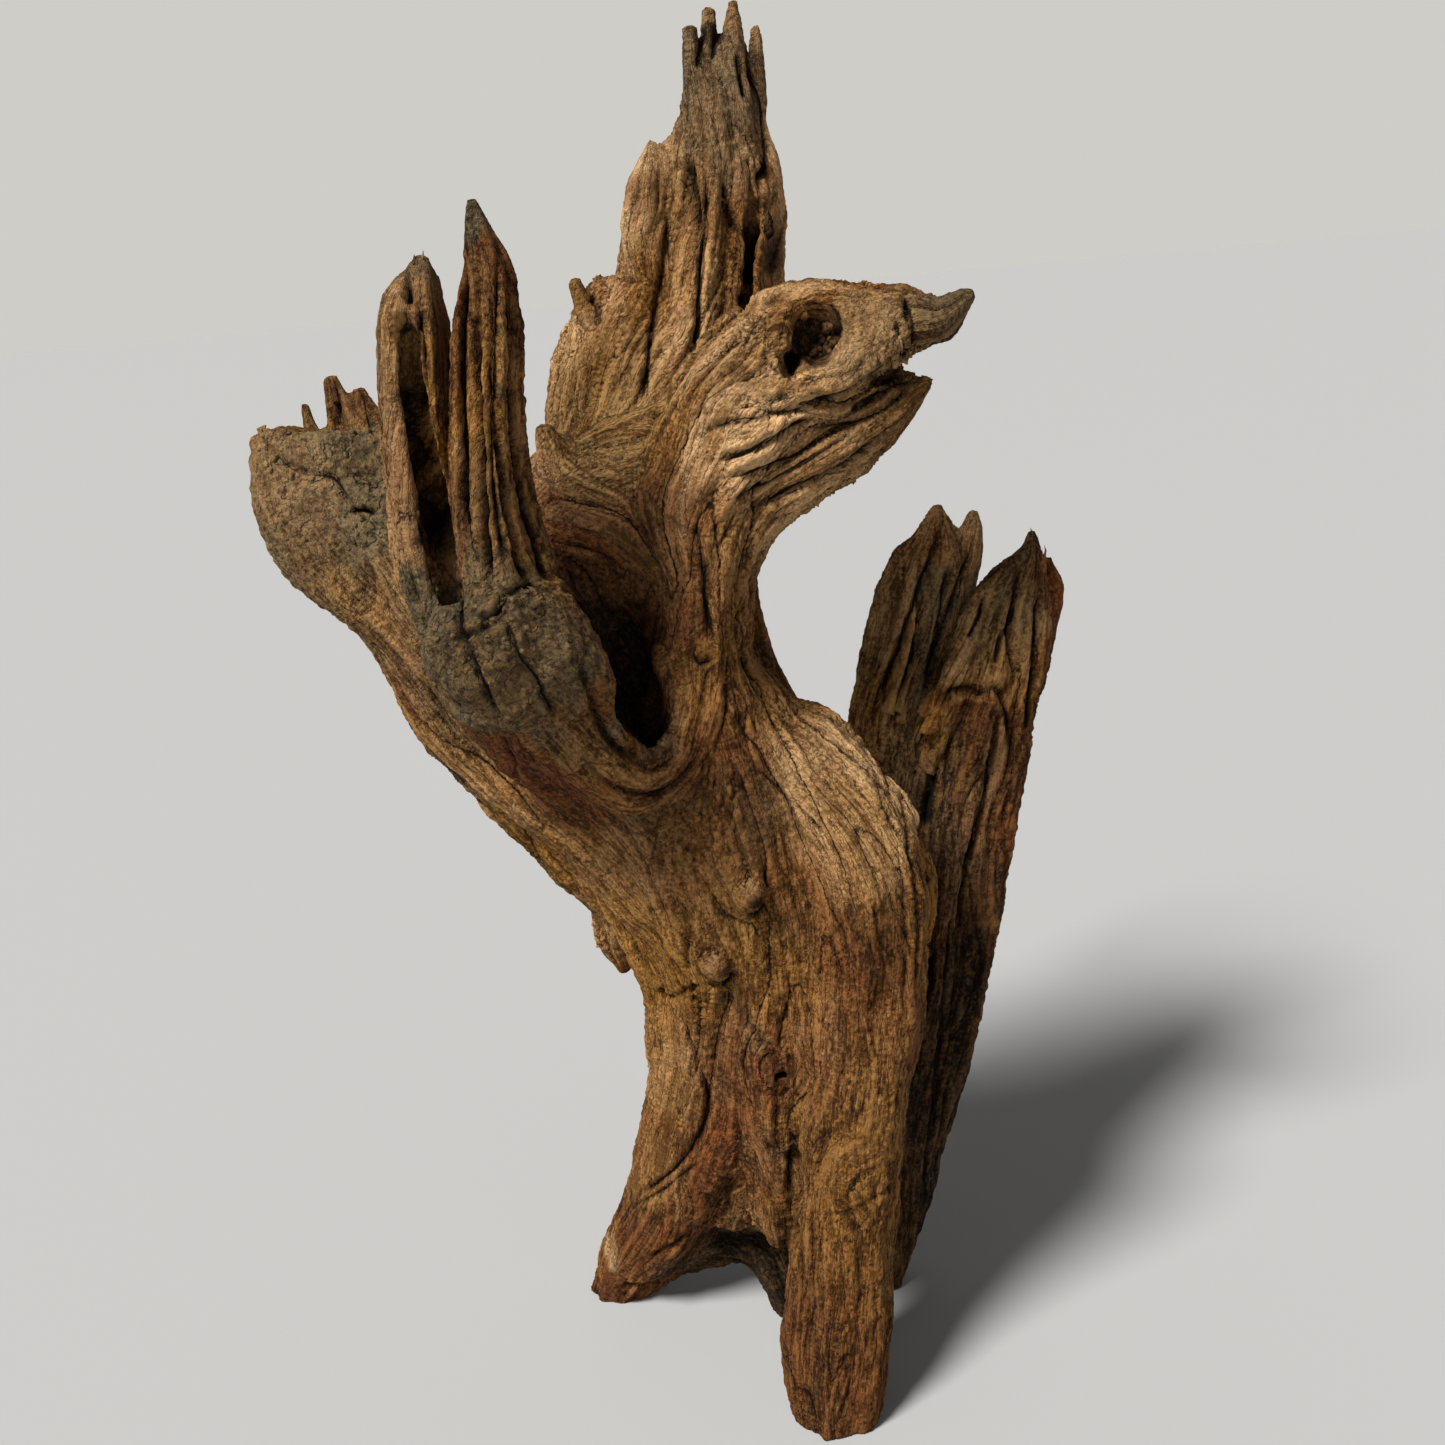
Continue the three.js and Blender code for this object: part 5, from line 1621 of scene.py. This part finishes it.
def wood_finish(name):
    s = Shader(name)
    fibre_place = s.attribute("fibre", "Vector")
    stretch = s.node("ShaderNodeVectorMath", {"operation": "MULTIPLY"}, {0: fibre_place, 1: (0.11, 1, 1)})
    threads = s.noise(stretch, 0.9, 4.0, 0.65) - 0.5
    place = s.node("ShaderNodeTexCoord", {}, {}, "Object")
    crumbs = s.noise(place, 640.0, 4.0, 0.68) - 0.5
    mottle = s.noise(place, 130.0, 4.0, 0.62) - 0.5
    broad, coarse = s.attribute("broad"), s.attribute("coarse")
    middle, fine = s.attribute("middle"), s.attribute("fine")
    hollow, calm = s.attribute("hollow"), s.attribute("calm")
    combed = 1 - calm
    crackle = s.noise(place, 95.0, 3.0, 0.6) - 0.5

    streaks = coarse * 0.045 + middle * 0.06 + fine * 0.07 + broad * 0.045 + threads * 1.35
    patches = crumbs * 1.4 + mottle * 0.85
    light = 0.52 + (streaks * combed + patches) * 1.25
    stops = [(0.12, DARK_WOOD), (0.5, SOUND_WOOD), (0.9, LIGHT_WOOD)]
    colour = s.node("ShaderNodeValToRGB", {"stops": stops}, {"Fac": light}, "Color")
    for tone, (dark, bright) in TONE_COLOURS.items():
        shade = s.node("ShaderNodeValToRGB", {"stops": [(0.2, dark), (0.85, bright)]}, {"Fac": light}, "Color")
        edge = s.attribute(tone) + threads * 0.65 + mottle * 0.2
        share = ((edge - 0.1) * 1.3).limit(0, 0.95)
        colour = s.mix(share, colour, shade)

    here = (mottle * 5 + threads * 2 + 0.6).limit()
    long_cracks = (1 - abs(coarse + threads * 0.5) * 11).limit() * here
    cracks = (1 - abs(middle + threads * 0.6) * 6).limit() * (1 - here * 0.6)
    hair_cracks = (1 - abs(fine + crumbs * 0.8) * 4).limit()
    splits = (1 - abs(s.attribute("splits") + threads * 0.4) * 7).limit() * s.attribute("open")
    edges = threads * 1.2 + crumbs * 1.0
    marks = (s.attribute("traced") * 1.3 - abs(s.attribute("trace") + edges) * 1.9).limit()
    bark_cracks = (1 - abs(crackle) * 30).limit() * calm * here
    lines = (long_cracks * 0.8 + cracks * 0.7 + hair_cracks * 0.5).limit() * combed
    lines = lines + splits * 1.2 + bark_cracks
    pits = ((crumbs + mottle * 0.5 - 0.13) * 9).limit()
    # Painted shade: carved valleys and pressed grooves are darkened, together with the dark cracks, splits and pits.
    shadow = hollow * 0.34 + s.attribute("mark") * 0.5 + marks * 0.9
    shade_and_dirt = (shadow + lines * 0.78 + pits * 0.42 - 0.09).limit(0, 0.95)
    colour = s.mix(shade_and_dirt, colour, (*SHADE_AND_DIRT, 1))
    rubbed = (hollow * -0.2 + threads * 0.5 + crumbs * 0.5).limit(0, 0.4)
    colour = s.mix(rubbed, colour, (*LIGHT_WOOD, 1))

    flakes = (middle * 1.1 + threads * 0.7).fraction() + (fine * 0.8 + crumbs).fraction() * 0.5
    relief = (middle * 0.10 + fine * 0.10 + flakes * 0.28) * combed
    height = relief + threads * 1.3 + crumbs * 1.1 - lines * 0.7 - pits * 0.3 - marks * 0.8
    bump = s.node("ShaderNodeBump", {}, {"Strength": 1.0, "Distance": 0.0016, "Height": height}, "Normal")
    values = {
        "Base Color": colour,
        "Roughness": (0.95 - light * 0.12).limit(0.76, 0.97),
        "Normal": bump,
        "Specular IOR Level": 0.12,
    }
    surface = s.node("ShaderNodeBsdfPrincipled", {}, values)
    s.node("ShaderNodeOutputMaterial", {}, {"Surface": surface})
    return s.material


def slot_of(node):
    for part in frame["record"]["subparts"]:
        if part["node"] == node:
            return part["material_slot"]
    return frame["record"]["materials"][0]["slot"]


FINISHES = {slot: wood_finish(slot) for slot in sorted({slot_of(node) for node in NODES})}
note("finishes", sorted(FINISHES))

# %% [markdown]
# ## The pieces
#
# Each piece is a mesh of its own in metres, with its attributes, the whole wood's normals and the
# finish of its slot. It stands for the CAD piece of the same name.

# %% Build the pieces
VALUES = {
    "broad": BROAD,
    "coarse": COARSE_GRAIN,
    "middle": MIDDLE_GRAIN,
    "fine": FINE_GRAIN,
    "hollow": HOLLOW,
    "mark": MARK_SHADE,
    "trace": TRACE,
    "traced": TRACED,
    "splits": SPLITS,
    "open": OPEN,
    "calm": CALM,
}
VALUES.update({tone: TONE[:, i] for i, tone in enumerate(TONES)})


def attach(mesh, name, kind, field, values):
    attribute = mesh.attributes.new(name, kind, "POINT")
    attribute.data.foreach_set(field, np.ascontiguousarray(values, np.float32).ravel())


def build_piece(node):
    quads = QUADS[OWNER == NODES.index(node)]
    walls, anchors = inner_walls(quads, node)
    used = np.unique(np.r_[quads.ravel(), walls.ravel()])
    rows = np.full(len(SKIN) + len(anchors), -1)
    rows[used] = np.arange(len(used))
    places = np.vstack([WOOD, anchors])[used]
    skin = used[used < len(SKIN)]
    extra = len(used) - len(skin)
    mesh = bpy.data.meshes.new(node + "_wood")
    corners = rows[np.r_[quads.ravel(), walls.ravel()]].astype(np.int32)
    starts = np.r_[np.arange(len(quads)) * 4, len(quads) * 4 + np.arange(len(walls)) * 3]
    mesh.vertices.add(len(places))
    mesh.vertices.foreach_set("co", (places * MM).astype(np.float32).ravel())
    mesh.loops.add(len(corners))
    mesh.loops.foreach_set("vertex_index", corners)
    mesh.polygons.add(len(starts))
    mesh.polygons.foreach_set("loop_start", starts.astype(np.int32))
    mesh.update(calc_edges=True)
    mesh.validate()
    for name, values in VALUES.items():
        attach(mesh, name, "FLOAT", "value", np.r_[values[skin], np.zeros(extra)])
    attach(mesh, "fibre", "FLOAT_VECTOR", "vector", np.vstack([FIBRE[skin], np.zeros((extra, 3))]))
    inner = np.tile([0.0, 0.0, 1.0], (extra, 1))
    mesh.normals_split_custom_set_from_vertices(np.vstack([WOOD_NORMALS[skin], inner]).tolist())
    mesh.materials.append(FINISHES[slot_of(node)])
    piece = bpy.data.objects.new(node + "_wood", mesh)
    bpy.context.scene.collection.objects.link(piece)
    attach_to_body(piece, "root")
    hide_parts(node)
    return piece


PIECES = [build_piece(node) for node in NODES]
for piece in PIECES:
    print(piece.name, len(piece.data.polygons), "faces")
note("pieces", len(PIECES))

# %% [markdown]
# ## Splinters, scales and crumbs
#
# Broken wood ends in splinters, bark comes off in scales, and rotten wood crumbles. Each is a tiny
# shape repeated where the wood is broken, so Geometry Nodes set them out. The script picks spots on
# the skin with a fixed seed, and gives each spot a direction to stand in, one to lie along, and a
# size. One tree turns any such spots into shapes: it places a copy on each spot, turns and scales
# it, makes the copies real, and roughens them.

# %% A tree for scattered shapes
TREE_INPUTS = {
    "Sides": "NodeSocketInt",
    "Steps": "NodeSocketInt",
    "Seed": "NodeSocketInt",
    "Least": "NodeSocketFloat",
    "Most": "NodeSocketFloat",
    "Ragged": "NodeSocketFloat",
    "Finish": "NodeSocketMaterial",
}
RAGGED_SCALE = 500.0


class Scatter(NodeMaker):
    """A Geometry Nodes tree that puts a shape on every vertex that comes in."""

    def __init__(self, name, shape):
        super().__init__(bpy.data.node_groups.new(name, "GeometryNodeTree"))
        sockets = self.tree.interface
        sockets.new_socket("Spots", in_out="INPUT", socket_type="NodeSocketGeometry")
        made = {key: sockets.new_socket(key, in_out="INPUT", socket_type=kind) for key, kind in TREE_INPUTS.items()}
        self.identifiers = {key: socket.identifier for key, socket in made.items()}
        sockets.new_socket("Shapes", in_out="OUTPUT", socket_type="NodeSocketGeometry")
        self.entry = self.nodes.new("NodeGroupInput")
        shapes = self.rough(self.placed(shape(self)))
        smooth = self.node("GeometryNodeSetShadeSmooth", {}, {"Geometry": shapes, "Shade Smooth": True})
        done = self.node("GeometryNodeSetMaterial", {}, {"Geometry": smooth, "Material": self.given("Finish")})
        self.node("NodeGroupOutput", {}, {0: done})

    def given(self, name):
        return Wire(self, self.find(self.entry.outputs, name))

    def named(self, name):
        settings = {"data_type": "FLOAT_VECTOR"}
        return self.node("GeometryNodeInputNamedAttribute", settings, {"Name": name}, "Attribute")

    def placed(self, unit):
        align = "FunctionNodeAlignRotationToVector"
        turn = self.node(align, {"axis": "Z"}, {"Vector": self.named("stand")})
        settings = {"axis": "X", "pivot_axis": "Z"}
        turn = self.node(align, settings, {"Rotation": turn, "Vector": self.named("lie")})
        values = {"Min_001": self.given("Least"), "Max_001": self.given("Most"), "Seed": self.given("Seed")}
        grow = self.node("FunctionNodeRandomValue", {"data_type": "FLOAT"}, values, "Value_001")
        size = self.node("ShaderNodeVectorMath", {"operation": "SCALE"}, {0: self.named("size"), "Scale": grow})
        values = {"Points": self.given("Spots"), "Instance": unit, "Rotation": turn, "Scale": size}
        copies = self.node("GeometryNodeInstanceOnPoints", {}, values)
        return self.node("GeometryNodeRealizeInstances", {}, {"Geometry": copies})

    def rough(self, shapes):
        values = {"Scale": RAGGED_SCALE, "Detail": 2.0}
        noise = self.node("ShaderNodeTexNoise", {}, values, "Color")
        noise = self.node("ShaderNodeVectorMath", {"operation": "SUBTRACT"}, {0: noise, 1: (0.5, 0.5, 0.5)})
        values = {0: noise, "Scale": self.given("Ragged")}
        shift = self.node("ShaderNodeVectorMath", {"operation": "SCALE"}, values)
        return self.node("GeometryNodeSetPosition", {}, {"Geometry": shapes, "Offset": shift})


def splinter(tree):
    values = {"Vertices": tree.given("Sides"), "Side Segments": tree.given("Steps"), "Radius Top": 0.0, "Radius Bottom": 1.0, "Depth": 1.0}
    return tree.node("GeometryNodeMeshCone", {}, values)


def crumb(tree):
    return tree.node("GeometryNodeMeshIcoSphere", {}, {"Radius": 1.0, "Subdivisions": 1})


SPLINTER_TREE = Scatter("splinters", splinter)
CRUMB_TREE = Scatter("crumbs", crumb)
note("trees for splinters and crumbs")

# %% Where they are: pixel, radius, count, and size in millimetres
SPLINTER_SPOTS = [
    (700, 110, 10, 4, (1.2, 0.7, 6)), (425, 268, 5, 3, (1.2, 0.9, 3)), (515, 290, 4, 3, (1.1, 0.8, 4)),
    (478, 614, 7, 9, (1.2, 0.8, 3)), (512, 598, 7, 10, (1.2, 0.8, 3)), (545, 590, 7, 12, (1.2, 0.8, 3)),
    (574, 602, 6, 10, (1.2, 0.8, 3)), (268, 436, 7, 5, (1.6, 1.1, 3)), (298, 428, 7, 5, (1.6, 1.1, 3)),
    (358, 434, 7, 6, (1.5, 1.0, 3)), (386, 446, 6, 6, (1.4, 0.9, 3)), (594, 930, 5, 5, (1.3, 1.0, 3)),
    (600, 958, 5, 5, (1.3, 1.0, 3)), (960, 294, 4, 3, (1.2, 0.9, 2.5)), (925, 380, 4, 3, (1.2, 0.9, 2.5)),
    (882, 428, 6, 5, (1.2, 0.9, 3)), (1030, 545, 5, 3, (1.2, 0.8, 4)), (1054, 585, 5, 6, (1.3, 0.8, 6)),
    (545, 424, 5, 5, (1.2, 0.9, 3)), (890, 692, 7, 8, (1.8, 1.0, 6)), (905, 735, 6, 6, (1.8, 1.0, 6)),
    (930, 724, 6, 8, (1.8, 1.0, 6)), (610, 290, 5, 4, (1.2, 0.9, 3)),
]
SCALE_SPOTS = [
    (706, 800, 14, 52, (3.2, 1.3, 1.5)), (692, 846, 12, 44, (2.8, 1.3, 1.4)), (850, 960, 20, 18, (2.6, 1.0, 0.4)),
    (876, 1090, 20, 20, (2.6, 1.0, 0.4)), (850, 1200, 20, 16, (2.6, 1.0, 0.4)), (862, 1330, 18, 16, (2.4, 1.0, 0.4)),
    (790, 1100, 9, 14, (2.8, 1.1, 0.5)), (500, 640, 22, 46, (1.4, 1.1, 0.4)), (452, 650, 16, 24, (1.3, 1.0, 0.4)),
    (520, 600, 9, 20, (1.3, 1.1, 0.5)), (330, 490, 26, 44, (1.6, 1.2, 0.5)), (276, 470, 16, 18, (1.5, 1.2, 0.5)),
    (905, 355, 6, 10, (2.2, 1.2, 0.6)), (735, 1215, 10, 16, (2.0, 1.2, 0.6)), (955, 760, 20, 16, (3.4, 0.9, 0.4)),
]
RUBBLE_SPOTS = [
    (824, 322, 3, 5, (2.0, 1.6, 1.5)), (812, 332, 4, 6, (2.4, 1.8, 1.6)), (828, 344, 3, 5, (2.0, 1.6, 1.5)),
    (800, 316, 3, 4, (1.8, 1.5, 1.3)), (815, 352, 3, 4, (1.8, 1.5, 1.3)),
]
CHIP_SPOTS = [
    (892, 712, 3, 2, (4.5, 2.6, 15)), (903, 722, 3, 2, (4.0, 2.4, 12)), (924, 712, 4, 3, (5.0, 3.0, 17)),
    (934, 730, 3, 2, (4.0, 2.6, 12)), (928, 762, 4, 2, (4.5, 2.6, 14)), (930, 800, 3, 1, (4.0, 2.4, 12)),
    (1050, 588, 3, 3, (1.8, 1.4, 12)), (1044, 572, 3, 2, (1.6, 1.2, 10)),
    (598, 934, 4, 3, (2.4, 1.6, 5)), (604, 952, 4, 3, (2.4, 1.6, 5)), (914, 660, 4, 2, (3.0, 1.6, 9)),
]
UPWARD = np.array([0.05, 0.02, 1.0])
# Less painted shade and less near black on the loose shapes than on the skin under them.
PALER = {"char": 0.7, "hollow": 0.3, "traced": 0, "mark": 0.2}


def pick_rows(spots, draw):
    """Vertices of the skin at each spot, and the size of what stands there."""
    rows, sizes = [], []
    for x, y, radius, count, size in spots:
        place = on_skin(x, y)
        if place is None:
            print("no skin at the spot", x, y)
            continue
        near = np.flatnonzero((np.abs(SKIN - place) < radius).all(1))
        near = near[np.linalg.norm(SKIN[near] - place, axis=1) < radius]
        picked = draw.choice(near, min(count, len(near)), replace=False)
        rows.append(picked)
        sizes.append(np.tile(size, (len(picked), 1)))
    return np.concatenate(rows), np.vstack(sizes)


def add_scatter(name, tree, spots, seed, upright, sink, inputs):
    """Spots on the wood, turned into shapes by the tree. Upright shapes stand along the grain, and
    more so the less upright is. Nought lays them on the skin."""
    rows, sizes = pick_rows(spots, np.random.default_rng(seed))
    normals, grain = WOOD_NORMALS[rows], SKIN_GRAIN[rows]
    grain = grain * np.where(grain @ UPWARD < 0, -1, 1)[:, None]
    stand, lie = (grain + upright * normals, normals) if upright else (normals + 0.25 * grain, grain)
    mesh = bpy.data.meshes.new(name + "_spots")
    mesh.from_pydata(((WOOD[rows] - sink * normals) * MM).tolist(), [], [])
    for key, each in VALUES.items():
        attach(mesh, key, "FLOAT", "value", each[rows] * PALER.get(key, 1))
    vectors = {"fibre": FIBRE[rows], "stand": stand, "lie": lie, "size": sizes * MM}
    for key, each in vectors.items():
        attach(mesh, key, "FLOAT_VECTOR", "vector", each)
    source = bpy.data.objects.new(name + "_spots", mesh)
    bpy.context.scene.collection.objects.link(source)
    modifier = source.modifiers.new("scatter", "NODES")
    modifier.node_group = tree.tree
    slot = slot_of("trunk")
    for key, value in {"Seed": seed, "Finish": FINISHES[slot], **inputs}.items():
        modifier[tree.identifiers[key]] = value
    evaluated = source.evaluated_get(bpy.context.evaluated_depsgraph_get())
    piece = bpy.data.objects.new(name, bpy.data.meshes.new_from_object(evaluated))
    bpy.data.objects.remove(source)
    bpy.context.scene.collection.objects.link(piece)
    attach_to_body(piece, "root")
    print(name, "on", len(rows), "spots,", len(piece.data.polygons), "faces")
    return piece


# %% Set them out
add_scatter("splinters", SPLINTER_TREE, SPLINTER_SPOTS, 11, 0.3, 0.8, {"Sides": 5, "Steps": 3, "Least": 0.5, "Most": 1.2, "Ragged": 0.0012})
add_scatter("scales", CRUMB_TREE, SCALE_SPOTS, 12, 0, 0.1, {"Sides": 5, "Least": 0.5, "Most": 1.3, "Ragged": 0.0012})
add_scatter("eye_rubble", CRUMB_TREE, RUBBLE_SPOTS, 13, 0, -0.6, {"Sides": 5, "Least": 0.6, "Most": 1.3, "Ragged": 0.0026})
add_scatter("chips", SPLINTER_TREE, CHIP_SPOTS, 14, 0.22, 0.4, {"Sides": 12, "Steps": 9, "Least": 0.7, "Most": 1.1, "Ragged": 0.0024})
note("splinters, scales, rubble and chips")

# %% [markdown]
# ## The floor and the light
#
# A plain pale floor that runs to the horizon, and one broad sun from the upper left in front, as in
# the photograph. A sun lights the floor evenly, where a lamp would leave its far end dark. The sky is
# as pale as the floor round the horizon and dark overhead, so hollows stay deep.

# %% Floor, sun and sky
FLOOR_HALF = 60.0
SUN_WIDTH = math.radians(16)
SUN_HEIGHT = math.radians(52)
SUN_TURN = math.radians(48)


def add_floor():
    mesh = bpy.data.meshes.new("floor")
    corners = [(-FLOOR_HALF, -FLOOR_HALF, 0), (FLOOR_HALF, -FLOOR_HALF, 0)]
    corners += [(FLOOR_HALF, FLOOR_HALF, 0), (-FLOOR_HALF, FLOOR_HALF, 0)]
    mesh.from_pydata(corners, [], [(0, 1, 2, 3)])
    s = Shader("floor")
    values = {"Base Color": (*paint(178, 179, 180), 1), "Roughness": 0.9, "Specular IOR Level": 0.2}
    surface = s.node("ShaderNodeBsdfPrincipled", {}, values)
    s.node("ShaderNodeOutputMaterial", {}, {"Surface": surface})
    mesh.materials.append(s.material)
    floor = bpy.data.objects.new("floor", mesh)
    bpy.context.scene.collection.objects.link(floor)
    floor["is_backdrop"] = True


def add_sun(strength, colour):
    data = bpy.data.lights.new("sun", "SUN")
    data.angle = SUN_WIDTH
    data.energy = strength
    data.color = colour
    sun = bpy.data.objects.new("sun", data)
    level = math.cos(SUN_HEIGHT)
    towards = Vector((-level * math.sin(SUN_TURN), -level * math.cos(SUN_TURN), math.sin(SUN_HEIGHT)))
    sun.rotation_euler = towards.to_track_quat("Z", "Y").to_euler()
    bpy.context.scene.collection.objects.link(sun)


def add_sky(horizon, top, strength):
    """A sky that is pale round the horizon, behind the wood, and darker overhead."""
    world = bpy.data.worlds.new("sky")
    world.use_nodes = True
    nodes, links = world.node_tree.nodes, world.node_tree.links
    place = nodes.new("ShaderNodeTexCoord")
    height = nodes.new("ShaderNodeSeparateXYZ")
    ramp = nodes.new("ShaderNodeValToRGB")
    Shader.set_stops(ramp.color_ramp, [(0.0, horizon), (0.24, horizon), (0.55, top)])
    links.new(place.outputs["Generated"], height.inputs[0])
    links.new(height.outputs["Z"], ramp.inputs["Fac"])
    links.new(ramp.outputs["Color"], nodes["Background"].inputs["Color"])
    nodes["Background"].inputs["Strength"].default_value = strength
    bpy.context.scene.world = world


add_floor()
bpy.context.scene.view_settings.view_transform = "Standard"
add_sun(4.85, (1, 0.975, 0.94))
add_sky((0.622, 0.61, 0.573), (0.08, 0.08, 0.08), 1.0)
note("floor, sun and sky")

# %% Sizes and the end
VISUAL_BOX = [list(corner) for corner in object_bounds()]
note("visual box", VISUAL_BOX)
